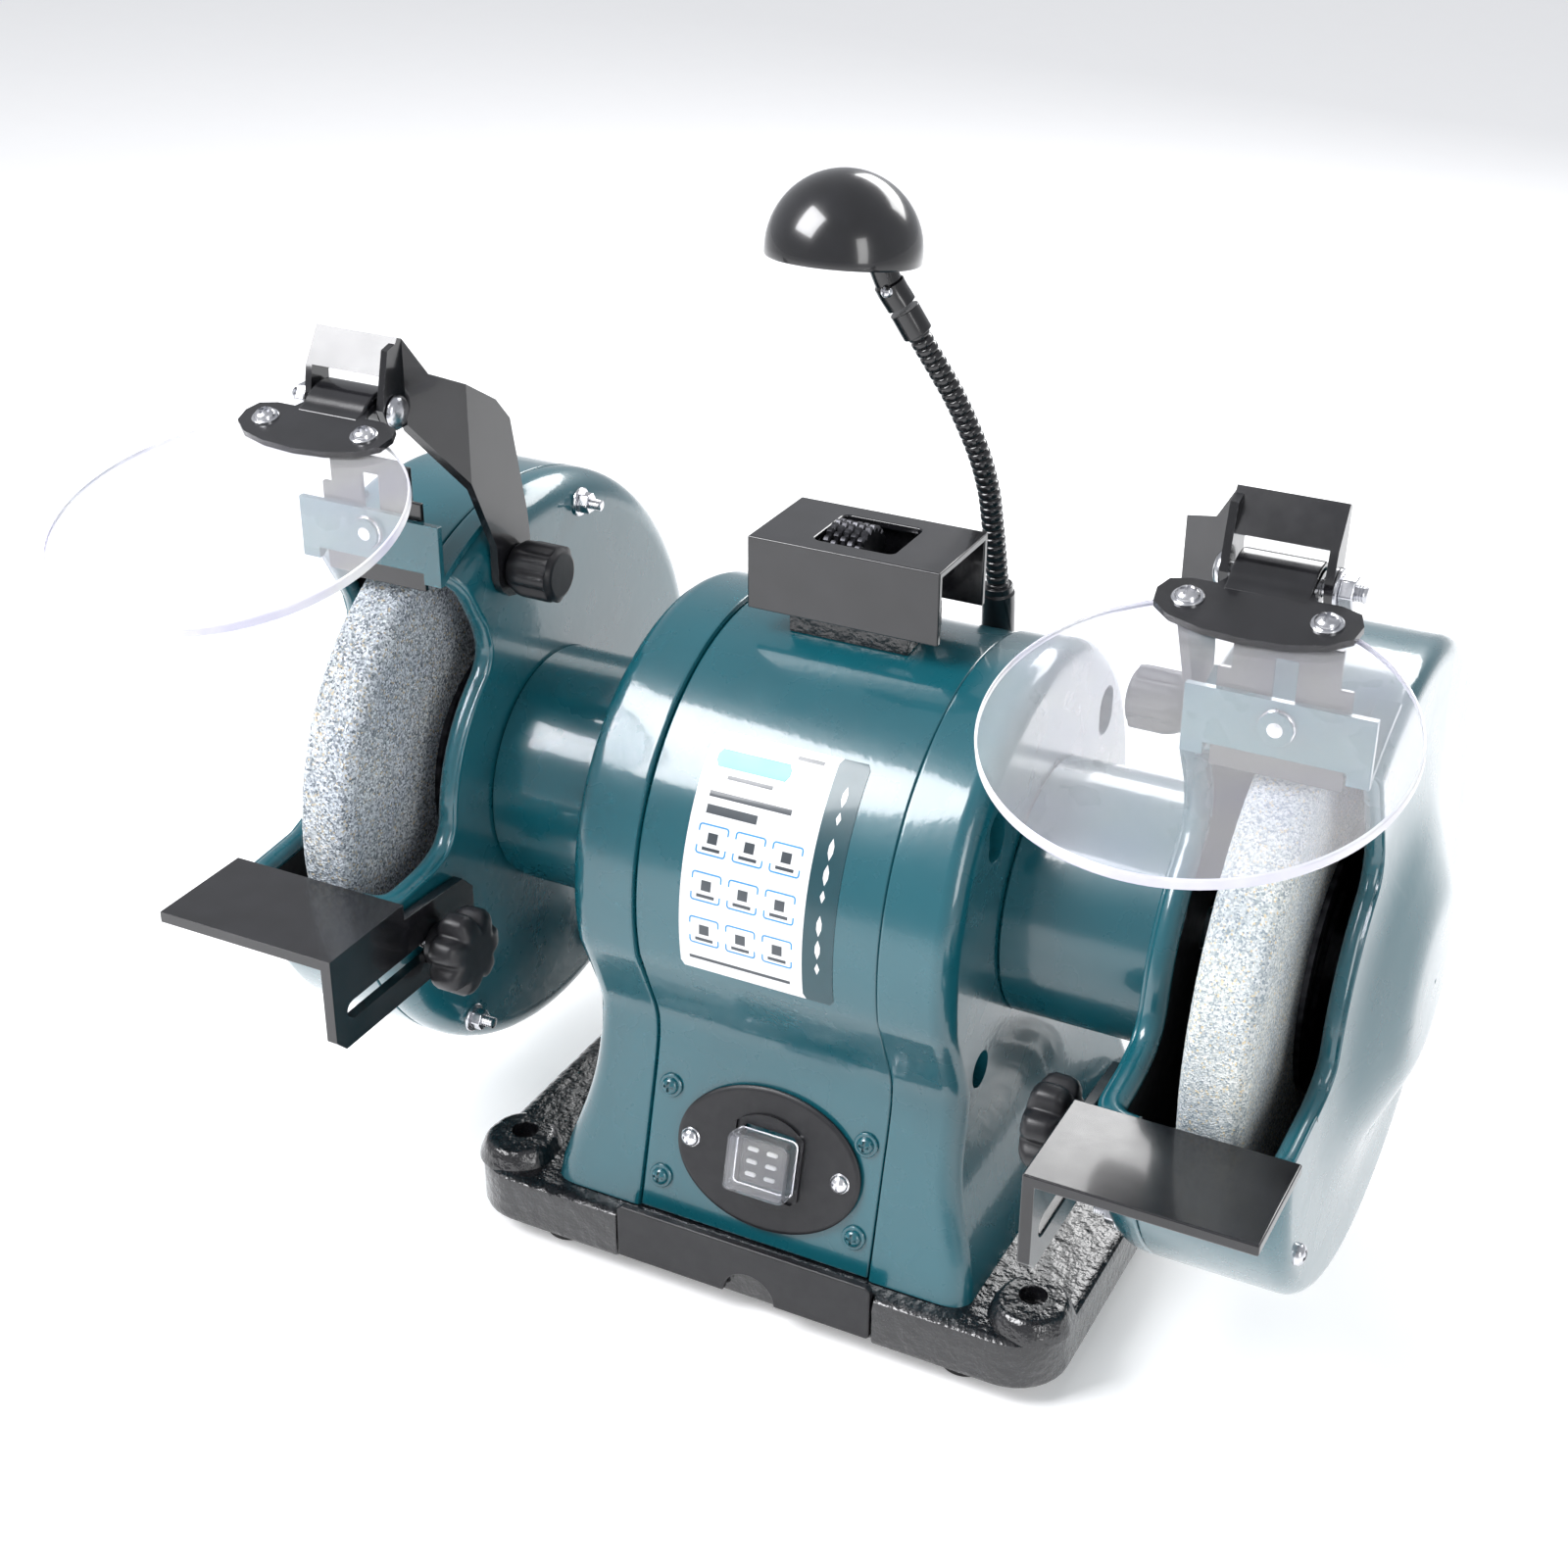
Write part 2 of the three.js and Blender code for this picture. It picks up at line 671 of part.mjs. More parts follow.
function switchCover() {
  const half = COVER_BOX / 2;
  const z0 = BEZEL_T + 2 * GAP;
  const shell = frontPlate(roundedRect(-half, half, -half + 1, half - 1, 2), z0, z0 + 8);
  const inner = frontPlate(
    roundedRect(-half + 1.2, half - 1.2, -half + 2.2, half - 2.2, 1), z0 - 1, z0 + 6.8,
  );
  return cut(shell, inner);
}

function switchRocker() {
  const half = COVER_BOX / 2 - 3.5;
  const body = frontPlate(roundedRect(-half, half, -half, half, 1, 1), 1.5, BEZEL_T + 2.5);
  const bars = [-1, 0, 1].flatMap((row) =>
    [-3.6, 3.6].map((x) =>
      frontPlate(
        roundedRect(x - 2.2, x + 2.2, row * 4.6 - 0.8, row * 4.6 + 0.8, 0.6, 1),
        BEZEL_T + 2, BEZEL_T + 3.3,
      ),
    ),
  );
  return join(body, ...bars);
}

// ---- tool rests ---------------------------------------------------------------------------
function toolRest() {
  const y1 = REST_BACK;
  const y0 = REST_BACK - REST_DEPTH;
  const plate = box(REST_IN, REST_OUT, y0, y1, REST_TOP - REST_T, REST_TOP);
  const low = REST_TOP - REST_DROP;
  const flangeOutline = [
    [y0, REST_TOP],
    [y0, low + 5],
    [y0 + 5, low],
    [STUD_Y + 20, low],
    [STUD_Y + 26, low + 6],
    [STUD_Y + 26, REST_TOP - 14],
    [STUD_Y + 20, REST_TOP - 8],
    [y1, REST_TOP - 6],
    [y1, REST_TOP],
  ];
  const flangePlate = alongX(flangeOutline, REST_IN, REST_IN + REST_T);
  const half = REST_SLOT_W / 2;
  const slot = alongX(
    roundedRect(y0 + 7, STUD_Y + 16, STUD_Z - half, STUD_Z + half, half - 0.1),
    REST_IN - 1, REST_IN + REST_T + 1,
  );
  return cut(join(plate, flangePlate), slot);
}

// Star knob with its clamping stud, in one piece.
function restKnob() {
  const x1 = REST_IN - GAP;
  const lobes = [];
  for (let i = 0; i < 28; i++) {
    const a = (i / 28) * 2 * Math.PI;
    const r = STAR_R - 1.6 + 1.6 * Math.cos(7 * a);
    lobes.push([STUD_Y + r * Math.cos(a), STUD_Z + r * Math.sin(a)]);
  }
  return join(
    alongX(lobes, x1 - 5 - STAR_W + 1, x1 - 5, 2, 1),
    rodX(8, x1 - 6, x1, STUD_Y, STUD_Z, 14),
    rodX(STUD_R, x1 - 1, GUARD_IN + 12, STUD_Y, STUD_Z, 10),
  );
}

// ---- spark arrestors ----------------------------------------------------------------------
function sparkBridge() {
  const y1 = SPARK_Y + SPARK_T;
  const plate = box(SPARK_X0, SPARK_X1, SPARK_Y, y1, SPARK_Z0, SPARK_Z1);
  const r0 = GUARD_R + GAP;
  const r1 = r0 + SPARK_T;
  const footOutline = [
    ...arc(0, AXIS_Z, r0, 106, 122.5, 5),
    ...arc(0, AXIS_Z, r1, 122.5, 106, 5),
  ];
  const feet = [
    alongX(footOutline, SPARK_X0, SPARK_X0 + 7),
    alongX(footOutline, SPARK_X1 - 7, SPARK_X1),
  ];
  const low = box(SPARK_X0, SPARK_X0 + 7, SPARK_Y, y1, SPARK_Z0 - 4, SPARK_Z0 + 1);
  const low2 = box(SPARK_X1 - 7, SPARK_X1, SPARK_Y, y1, SPARK_Z0 - 4, SPARK_Z0 + 1);
  const bolt = join(
    rodY(2.5, SPARK_Y - 1, y1 + 6, SPARK_MID, SPARK_BOLT_Z, 10),
    rodY(5.5, SPARK_Y - 2.6, SPARK_Y + 1, SPARK_MID, SPARK_BOLT_Z, 12),
  );
  return join(plate, ...feet, low, low2, bolt);
}

function sparkArrestor() {
  const y0 = SPARK_Y + SPARK_T + GAP;
  const plate = box(SPARK_MID - 20, SPARK_MID + 20, y0, y0 + 2, SPARK_Z0 - 8, SPARK_Z1 + 18);
  const slot = box(SPARK_MID - 3.5, SPARK_MID + 3.5, y0 - 1, y0 + 3, SPARK_Z0 + 3, SPARK_Z1 + 12);
  const nicks = [-1, 1].map((s) =>
    box(SPARK_MID + s * 21 - 5, SPARK_MID + s * 21 + 5, y0 - 1, y0 + 3, SPARK_Z1 + 6, SPARK_Z1 + 19),
  );
  return cut(plate, slot, ...nicks);
}

// ---- eye shields --------------------------------------------------------------------------
function shieldArm() {
  const path = [
    [ARM_X, 0],
    [ARM_X, -50],
    [FORK_IN, -60],
    [FORK_IN, -76],
    [FORK_IN + FORK_T, -76],
    [FORK_IN + FORK_T, -58.6],
    [ARM_X + ARM_T, -48.6],
    [ARM_X + ARM_T, 0],
  ];
  const z = (v) => PIVOT_Z + v;
  const silhouette = [
    ...arc(PIVOT_Y, PIVOT_Z, 11, 190, 350, 6),
    [-17, z(17)],
    [-25, z(54)],
    [-33, z(63)],
    [-56, z(77)],
    [-60, z(89)],
    [-68, z(87)],
    [-73, z(68)],
    [-70, z(61)],
    [-66, z(59.5)],
    [-60, z(59.5)],
    [-37, z(11)],
  ];
  const strip = alongZ(path, z(-20), z(100)).intersect(
    alongX(silhouette, ARM_X - 1, FORK_IN + 10),
  );
  const band = alongX(
    [
      [-60.2, z(88.9)],
      [-62.4, z(90)],
      [-69.8, z(78.6)],
      [-67.6, z(77.5)],
    ],
    FORK_IN,
    FORK_OUT,
  );
  const outer = alongX(
    [
      [-60.3, z(88.9)],
      [-69.8, z(78.6)],
      [-72, z(68)],
      [-70, z(61)],
      [-62, z(61)],
    ],
    FORK_OUT - FORK_T,
    FORK_OUT,
  );
  const holes = rodX(HINGE_R + RUN, FORK_IN - 2, FORK_OUT + 2, HINGE_Y, HINGE_Z, 10);
  const pivot = rodX(STUD_R + 0.6, ARM_X - 1, ARM_X + 5, PIVOT_Y, PIVOT_Z, 12);
  return cut(join(strip, band, outer), holes, pivot);
}

function armKnob() {
  const x1 = ARM_X - GAP;
  const flutes = [];
  for (let i = 0; i < 24; i++) {
    const a = (i / 24) * 2 * Math.PI;
    const r = ARM_KNOB_R - 0.7 + 0.7 * Math.cos(8 * a);
    flutes.push([PIVOT_Y + r * Math.cos(a), PIVOT_Z + r * Math.sin(a)]);
  }
  return join(
    alongX(flutes, x1 - ARM_KNOB_W, x1 - 2, 1.5, 1),
    rodX(8, x1 - 3, x1, PIVOT_Y, PIVOT_Z, 14),
    rodX(STUD_R, x1 - 1, GUARD_IN + 11, PIVOT_Y, PIVOT_Z, 10),
  );
}

function hingeBolt() {
  return join(
    rodX(5.5, FORK_IN - 3.3, FORK_IN - GAP, HINGE_Y, HINGE_Z, 12),
    rodX(HINGE_R, FORK_IN - 1, FORK_OUT + 9, HINGE_Y, HINGE_Z, 10),
    rodX(5, FORK_OUT + GAP, FORK_OUT + 4.5, HINGE_Y, HINGE_Z, 6),
  );
}

// Shield frame: x along the hinge, y forward along the shield, z out of its upper face.
function onShield(geometry) {
  const t = SHIELD_TILT * DEG;
  const forward = new THREE.Vector3(0, -Math.cos(t), -Math.sin(t));
  const out = new THREE.Vector3(0, -Math.sin(t), Math.cos(t));
  const m = new THREE.Matrix4().makeBasis(AXES.x.clone().negate(), forward, out);
  m.setPosition((FORK_IN + FORK_OUT) / 2, HINGE_Y, HINGE_Z);
  return solid(geometry.applyMatrix4(m));
}

function shieldPlate(points, z0, z1) {
  const g = new THREE.ExtrudeGeometry(shapeOf(points), {
    depth: z1 - z0,
    bevelEnabled: false,
    steps: 1,
  });
  g.translate(0, 0, z0);
  return onShield(g);
}

const HINGE_MID = (FORK_IN + FORK_OUT) / 2;

function shieldClamp() {
  const z0 = SHIELD_T / 2 + GAP;
  const bow = [
    [-29, 20], [-28, 26], [-22, 31], [-12, 34], [0, 35], [12, 34], [22, 31], [28, 26], [29, 20],
    [27, 15], [21, 13], [14, 13], [12, 9], [12, 0], [-12, 0], [-12, 9], [-14, 13], [-21, 13],
    [-27, 15],
  ];
  const plate = shieldPlate(bow, z0, z0 + 2.2);
  const barrel = rodX(z0 + 2.2, HINGE_MID - 12, HINGE_MID + 12, HINGE_Y, HINGE_Z, 14);
  const bore = rodX(HINGE_R + RUN, HINGE_MID - 20, HINGE_MID + 20, HINGE_Y, HINGE_Z, 10);
  return cut(join(plate, barrel), bore);
}

function eyeShield() {
  const ring = arc(0, SHIELD_REACH, SHIELD_R, 0, 351, 39);
  return shieldPlate(ring, -SHIELD_T / 2, SHIELD_T / 2);
}

// ---- wheel dresser ------------------------------------------------------------------------
function dresserBlock() {
  const body = box(-22, 22, -14, 14, BLOCK_LOW, BLOCK_TOP);
  const ears = [-18, 19].map((x) =>
    box(x - 2, x + 2, -9, 9, BLOCK_TOP - 1, BRACKET_TOP - BRACKET_T - GAP),
  );
  const saddle = rodX(STATOR_R + GAP, -40, 40, 0, AXIS_Z, 64);
  const pinHole = rodX(3 + GAP, -30, 30, 0, CUTTER_Z, 16);
  return cut(join(body, ...ears), saddle, pinHole);
}

function dresserBracket() {
  const hx = BRACKET_HALF_X;
  const hy = BRACKET_HALF_Y;
  const body = box(-hx, hx, -hy, hy, BRACKET_LOW, BRACKET_TOP);
  const inside = box(-hx - 1, hx + 1, -hy + BRACKET_T, hy - BRACKET_T,
    BRACKET_LOW - 1, BRACKET_TOP - BRACKET_T);
  const slot = alongZ(
    roundedRect(CUTTER_X0 - 1.5, 15, -CUTTER_R + 0.5, CUTTER_R - 0.5, 2.5),
    BRACKET_TOP - 5, BRACKET_TOP + 1,
  );
  return cut(body, inside, slot);
}

function dresserCutters() {
  const w = CUTTER_W / 3;
  const outline = [[3 + RUN, CUTTER_X0]];
  [0, 1, 2].forEach((i) => {
    const x = CUTTER_X0 + i * w;
    outline.push([CUTTER_R - 1, x]);
    outline.push([CUTTER_R, x + 0.8]);
    outline.push([CUTTER_R, x + w - 0.8]);
  });
  outline.push([3 + RUN, CUTTER_X0 + CUTTER_W - 0.2]);
  return latheX(outline, 0, CUTTER_Z, 14);
}

function dresserPin() {
  return rodX(3, -21, 22, 0, CUTTER_Z, 16);
}

// ---- lamp ---------------------------------------------------------------------------------
const NECK_PATH = [
  [29, 49, 66], [29, 47.5, 81], [28, 45.5, 97], [26.8, 44, 110], [25.6, 42, 122],
  [23, 39.5, 134], [19.2, 37, 145], [14.8, 34, 156], [10.3, 31.4, 165], [5, 28, 175.5],
  [-0.5, 25.2, 186],
].map(([x, y, z]) => new THREE.Vector3(x, y, AXIS_Z + z));
const NECK_CURVE = new THREE.CatmullRomCurve3(NECK_PATH);
const HALF_FLEX = FLEX_GAP / 2 / NECK_CURVE.getLength();

function sweep(curve, r, steps, sides) {
  const g = new THREE.ExtrudeGeometry(shapeOf(arc(0, 0, r, 0, 360 - 360 / sides, sides - 1)), {
    steps,
    extrudePath: curve,
    bevelEnabled: false,
  });
  return solid(g);
}

function neckPart(from, to, r, steps) {
  const points = [];
  for (let i = 0; i <= steps; i++) {
    points.push(NECK_CURVE.getPointAt(from + ((to - from) * i) / steps));
  }
  return sweep(new THREE.CatmullRomCurve3(points), r, steps, 10);
}

function lowerNeck() {
  const collar = neckPart(0, 0.05, NECK_R + 2, 2);
  const saddle = rodX(STATOR_R + GAP, 0, 60, 0, AXIS_Z, 64);
  return cut(join(neckPart(0, NECK_SPLIT - HALF_FLEX, NECK_R, 8), collar), saddle);
}

function upperNeck() {
  return join(
    neckPart(NECK_SPLIT + HALF_FLEX, 1, NECK_R, 8),
    neckPart(0.93, 1, NECK_R + 1.2, 2),
  );
}

function shadeMatrix() {
  const m = new THREE.Matrix4().makeRotationX(-SHADE_LEAN * DEG);
  m.setPosition(...SHADE_AT);
  return m;
}

function lampNeck() {
  const end = NECK_CURVE.getPointAt(1);
  const tangent = NECK_CURVE.getTangentAt(1);
  const start = end.clone().addScaledVector(tangent, HEAD_GAP);
  const [sx, sy, sz] = SHADE_AT;
  const curve = new THREE.CatmullRomCurve3([
    start,
    start.clone().addScaledVector(tangent, 9),
    new THREE.Vector3(sx + 7, sy + 4, sz + 6),
    new THREE.Vector3(sx + 1, sy + 1, sz + 16),
  ]);
  return sweep(curve, NECK_R + 0.6, 6, 10);
}

function lampShade() {
  const outline = [];
  arc(0, 0, SHADE_R, 0, 90, 6).forEach(([r, h]) => outline.push([Math.max(r, 0), h]));
  outline[outline.length - 1][0] = 0;
  arc(0, 0, SHADE_R - SHADE_T, 90, 0, 6).forEach(([r, h]) => outline.push([r, h]));
  outline[7][0] = 0;
  outline[outline.length - 1][1] = 0;
  outline.push([SHADE_R - SHADE_T, -3]);
  outline.push([SHADE_R, -3]);
  outline.push(outline[0]);
  const g = new THREE.LatheGeometry(outline.map(([r, h]) => new THREE.Vector2(r, h)), 22);
  turned(g, "yzx");
  g.applyMatrix4(shadeMatrix());
  return solid(g);
}

function lampBulb() {
  const g = new THREE.SphereGeometry(7, 12, 6);
  g.translate(SHADE_AT[0] - 8, SHADE_AT[1] - 4, SHADE_AT[2] + 5);
  return solid(g);
}

// ---- assembly -----------------------------------------------------------------------------
add("base_casting", baseCasting(), CAST_BLACK);
corners(FOOT_X, FOOT_Y).forEach(([x, y], i) =>
  add("foot_" + ["back_right", "back_left", "front_left", "front_right"][i],
    rubberFoot(x, y), RUBBER),
);
add("base_cover", baseCover(), PLASTIC_BLACK);
add("cord_inlet", cordInlet(), PLASTIC_BLACK);
add("stator_housing", statorHousing(), TEAL);
addPair("end_bell", endBell(), TEAL);
add("stator_core", statorCore(), IRON);
add("stator_winding", statorWinding(), COPPER);
addPair("bearing", bearing(), STEEL);
addPair("spindle_tube", spindleTube(), TEAL);
addPair("guard_casting", guardCasting(), TEAL);
addPair("guard_cover", guardCover(), TEAL);
add("rotor_core", rotorCore(), IRON);
add("spindle_shaft", spindleShaft(), STEEL);
addPair("wheel", wheel(), GRIT_PALE, GRIT_GREY);
addPair("inner_flange", flange(WHEEL_IN - GAP, WHEEL_IN - FLANGE_W), IRON);
addPair("outer_flange",
  flange(WHEEL_IN + WHEEL_W + GAP, WHEEL_IN + WHEEL_W + FLANGE_W), IRON);
addPair("spindle_nut", spindleNut(), STEEL);
add("switch_bezel", switchBezel(), PLASTIC_BLACK);
add("switch_rocker", switchRocker(), PLASTIC_BLACK);
add("switch_cover", switchCover(), CLEAR);
addPair("tool_rest", toolRest(), SATIN_BLACK);
addPair("rest_knob", restKnob(), PLASTIC_BLACK);
addPair("spark_bridge", sparkBridge(), TEAL);
addPair("spark_arrestor", sparkArrestor(), SATIN_BLACK);
addPair("shield_arm", shieldArm(), SATIN_BLACK);
addPair("arm_knob", armKnob(), PLASTIC_BLACK);
addPair("hinge_bolt", hingeBolt(), STEEL);
addPair("shield_clamp", shieldClamp(), SATIN_BLACK);
addPair("eye_shield", eyeShield(), CLEAR);
add("dresser_block", dresserBlock(), CAST_BLACK);
add("dresser_bracket", dresserBracket(), SATIN_BLACK);
add("dresser_cutters", dresserCutters(), IRON);
add("dresser_pin", dresserPin(), STEEL);
add("lamp_neck_lower", lowerNeck(), SATIN_BLACK);
add("lamp_neck_upper", upperNeck(), SATIN_BLACK);
add("lamp_stem", lampNeck(), SATIN_BLACK);
add("lamp_shade", lampShade(), SATIN_BLACK);
add("lamp_bulb", lampBulb(), LAMP_WHITE);

export default group;
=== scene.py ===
import math
import random

import bmesh
import bpy
from mathutils import Matrix, Vector


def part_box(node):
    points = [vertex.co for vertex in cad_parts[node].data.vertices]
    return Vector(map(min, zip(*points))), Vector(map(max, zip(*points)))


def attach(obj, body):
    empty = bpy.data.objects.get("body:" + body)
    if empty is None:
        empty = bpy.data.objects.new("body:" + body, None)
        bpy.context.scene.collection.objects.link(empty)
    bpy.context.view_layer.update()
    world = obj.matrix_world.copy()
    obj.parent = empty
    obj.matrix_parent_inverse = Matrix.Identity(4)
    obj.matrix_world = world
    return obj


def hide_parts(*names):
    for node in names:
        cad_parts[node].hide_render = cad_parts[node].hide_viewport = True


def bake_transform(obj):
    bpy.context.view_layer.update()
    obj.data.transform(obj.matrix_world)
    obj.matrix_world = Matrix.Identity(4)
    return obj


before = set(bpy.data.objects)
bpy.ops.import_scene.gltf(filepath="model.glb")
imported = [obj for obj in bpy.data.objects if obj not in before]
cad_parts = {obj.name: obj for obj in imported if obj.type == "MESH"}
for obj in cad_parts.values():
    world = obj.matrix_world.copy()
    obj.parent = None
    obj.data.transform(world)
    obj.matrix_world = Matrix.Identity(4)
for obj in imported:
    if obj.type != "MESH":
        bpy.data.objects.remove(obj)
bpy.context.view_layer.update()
MM = 0.001
TAU = 2 * math.pi
SIDES = {"left": -1, "right": 1}


def cad(node):
    """Lowest and highest corner of a CAD node, in millimetres."""
    lo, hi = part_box(node)
    return Vector(lo) / MM, Vector(hi) / MM


# ---- sizes taken from the frame --------------------------------------------------------------
shaft_lo, shaft_hi = cad("spindle_shaft")
AXIS_Z = (shaft_lo.z + shaft_hi.z) / 2
housing_lo, housing_hi = cad("stator_housing")
STATOR_R = housing_hi.z - AXIS_Z
SOLE_Z = housing_lo.z
SOLE_Y = housing_hi.y
PART_X = housing_hi.x
_, bell_hi = cad("right_end_bell")
BELL_R = bell_hi.z - AXIS_Z
tube_lo, tube_hi = cad("right_spindle_tube")
TUBE_R = tube_hi.z - AXIS_Z
BELL_FACE = tube_lo.x - 0.3
casting_lo, casting_hi = cad("right_guard_casting")
cover_lo, cover_hi = cad("right_guard_cover")
GUARD_R = casting_hi.z - AXIS_Z
wheel_lo, wheel_hi = cad("right_wheel")
WHEEL_R = wheel_hi.z - AXIS_Z
base_lo, base_hi = cad("base_casting")
rest_lo, _ = cad("right_tool_rest")
shield_lo, shield_hi = cad("right_eye_shield")
hinge_lo, hinge_hi = cad("right_hinge_bolt")
HINGE = (hinge_lo + hinge_hi) / 2
MOUTH_TOP = math.radians(119.5)  # the open front of a guard, as angles about the spindle
MOUTH_LOW = math.radians(184.6)
MOUTH_R = 67


# ---- mesh helpers ----------------------------------------------------------------------------
def mesh_piece(name, verts, faces, material, side=1, sharp=38):
    """A new object from millimetre points; side -1 gives the mirror image in X."""
    bm = bmesh.new()
    made = [bm.verts.new((side * x * MM, y * MM, z * MM)) for x, y, z in verts]
    for f in faces:
        try:
            bm.faces.new([made[i] for i in f])
        except ValueError:
            continue
    bmesh.ops.remove_doubles(bm, verts=bm.verts, dist=1e-6)
    bmesh.ops.recalc_face_normals(bm, faces=bm.faces)
    return finish_bmesh(bm, name, material, sharp)


def smooth_below(bm, sharp):
    """Smooth faces, with a hard edge wherever two of them meet at more than sharp degrees."""
    for face in bm.faces:
        face.smooth = True
    for edge in bm.edges:
        if len(edge.link_faces) == 2:
            edge.smooth = edge.calc_face_angle(0) < math.radians(sharp)


def finish_bmesh(bm, name, material, sharp=38):
    """Turns a bmesh into a linked object with one material."""
    smooth_below(bm, sharp)
    data = bpy.data.meshes.new(name)
    bm.to_mesh(data)
    bm.free()
    obj = bpy.data.objects.new(name, data)
    bpy.context.scene.collection.objects.link(obj)
    data.materials.append(material)
    return obj


def settle(obj, sharp=38):
    """Turns the modifiers so far into the object's own mesh."""
    deps = bpy.context.evaluated_depsgraph_get()
    data = bpy.data.meshes.new_from_object(obj.evaluated_get(deps))
    obj.modifiers.clear()
    obj.data = data
    bm = bmesh.new()
    bm.from_mesh(data)
    smooth_below(bm, sharp)
    bm.to_mesh(data)
    bm.free()
    return obj


def bevel(obj, width, segments=3, angle=35):
    mod = obj.modifiers.new("rounding", "BEVEL")
    mod.width = width * MM
    mod.segments = segments
    mod.limit_method = "ANGLE"
    mod.angle_limit = math.radians(angle)
    mod.use_clamp_overlap = True
    return obj


def carve(obj, *cutters):
    """Cuts the cutters out of obj and removes them."""
    for cutter in cutters:
        mod = obj.modifiers.new("cut", "BOOLEAN")
        mod.operation = "DIFFERENCE"
        mod.solver = "EXACT"
        mod.object = cutter
    settle(obj)
    for cutter in cutters:
        bpy.data.objects.remove(cutter)
    return obj


def loft(rings, closed=True, capped=True):
    """Points and faces through rings of equal length."""
    n = len(rings[0])
    verts = [p for ring in rings for p in ring]
    faces = []
    for a in range(len(rings) - 1):
        for i in range(n if closed else n - 1):
            j = (i + 1) % n
            faces.append((a * n + i, a * n + j, (a + 1) * n + j, (a + 1) * n + i))
    if capped:
        faces.append(tuple(range(n))[::-1])
        faces.append(tuple((len(rings) - 1) * n + i for i in range(n)))
    return verts, faces


def turned(name, profile, material, axis="x", at=(0, 0, 0), segments=96, side=1, sharp=38):
    """A (radius, height) outline turned round an axis; a closed one repeats its first point."""
    rings = []
    for r, h in profile:
        ring = []
        for i in range(segments):
            a = TAU * i / segments
            u, v = r * math.cos(a), r * math.sin(a)
            ring.append({"x": (h, u, v), "y": (v, h, u), "z": (u, v, h)}[axis])
        rings.append([tuple(Vector(p) + Vector(at)) for p in ring])
    closed_outline = profile[0] == profile[-1]
    verts, faces = loft(rings, capped=not closed_outline)
    return mesh_piece(name, verts, faces, material, side, sharp)


def prism(name, outline, low, high, axis, material, side=1, sharp=38):
    """A prism along an axis; the outline's points are the two other axes in cyclic order."""
    order = {"x": lambda a, b, h: (h, a, b), "y": lambda a, b, h: (b, h, a),
             "z": lambda a, b, h: (a, b, h)}[axis]
    rings = [[order(a, b, h) for a, b in outline] for h in (low, high)]
    verts, faces = loft(rings)
    return mesh_piece(name, verts, faces, material, side, sharp)


def arc(ca, cb, r, start, end, steps):
    """Points of an arc in degrees."""
    return [
        (ca + r * math.cos(math.radians(start + (end - start) * i / steps)),
         cb + r * math.sin(math.radians(start + (end - start) * i / steps)))
        for i in range(steps + 1)
    ]


def rounded_rect(a0, a1, b0, b1, r, steps=6):
    return (arc(a1 - r, b1 - r, r, 0, 90, steps) + arc(a0 + r, b1 - r, r, 90, 180, steps)
            + arc(a0 + r, b0 + r, r, 180, 270, steps) + arc(a1 - r, b0 + r, r, 270, 360, steps))


def spline(points, steps=8):
    """A smooth open curve through 2-D or 3-D points."""
    p = [Vector(q) for q in points]
    p = [2 * p[0] - p[1]] + p + [2 * p[-1] - p[-2]]
    out = []
    for i in range(1, len(p) - 2):
        for s in range(steps):
            t = s / steps
            out.append(0.5 * (2 * p[i] + (p[i + 1] - p[i - 1]) * t
                              + (2 * p[i - 1] - 5 * p[i] + 4 * p[i + 1] - p[i + 2]) * t * t
                              + (3 * p[i] - p[i - 1] - 3 * p[i + 1] + p[i + 2]) * t ** 3))
    return out + [p[-2]]


def block(name, lo, hi, material, side=1):
    return prism(name, [(lo[0], lo[1]), (hi[0], lo[1]), (hi[0], hi[1]), (lo[0], hi[1])],
                 lo[2], hi[2], "z", material, side)


def place(piece, body, slot, *nodes):
    """Rides the piece on a body and hides the CAD nodes it stands for; the slot is not used."""
    even_out = piece.modifiers.new("flat_faces_stay_flat", "WEIGHTED_NORMAL")
    even_out.keep_sharp = True
    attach(piece, body)
    if nodes:
        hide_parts(*nodes)
    return piece


# ---- materials -------------------------------------------------------------------------------
def new_material(name, base, rough, metal=0.0, coat=0.0, shine=0.5):
    mat = bpy.data.materials.new(name)
    mat.use_nodes = True
    shader = mat.node_tree.nodes["Principled BSDF"]
    shader.inputs["Base Color"].default_value = (*base, 1)
    shader.inputs["Roughness"].default_value = rough
    shader.inputs["Metallic"].default_value = metal
    shader.inputs["Coat Weight"].default_value = coat
    shader.inputs["Specular IOR Level"].default_value = shine
    shader.inputs["Coat Roughness"].default_value = 0.08
    return mat


def noise(mat, scale, detail=4.0, stretch=(1, 1, 1), kind="noise"):
    """A texture node in object space; scale is in features per metre."""
    nodes, links = mat.node_tree.nodes, mat.node_tree.links
    where = nodes.new("ShaderNodeTexCoord")
    mapping = nodes.new("ShaderNodeMapping")
    mapping.inputs["Scale"].default_value = stretch
    links.new(where.outputs["Object"], mapping.inputs["Vector"])
    tex = nodes.new("ShaderNodeTexNoise" if kind == "noise" else "ShaderNodeTexVoronoi")
    tex.inputs["Scale"].default_value = scale
    if kind == "noise":
        tex.inputs["Detail"].default_value = detail
    links.new(mapping.outputs["Vector"], tex.inputs["Vector"])
    return tex.outputs["Fac"] if kind == "noise" else tex.outputs["Distance"]


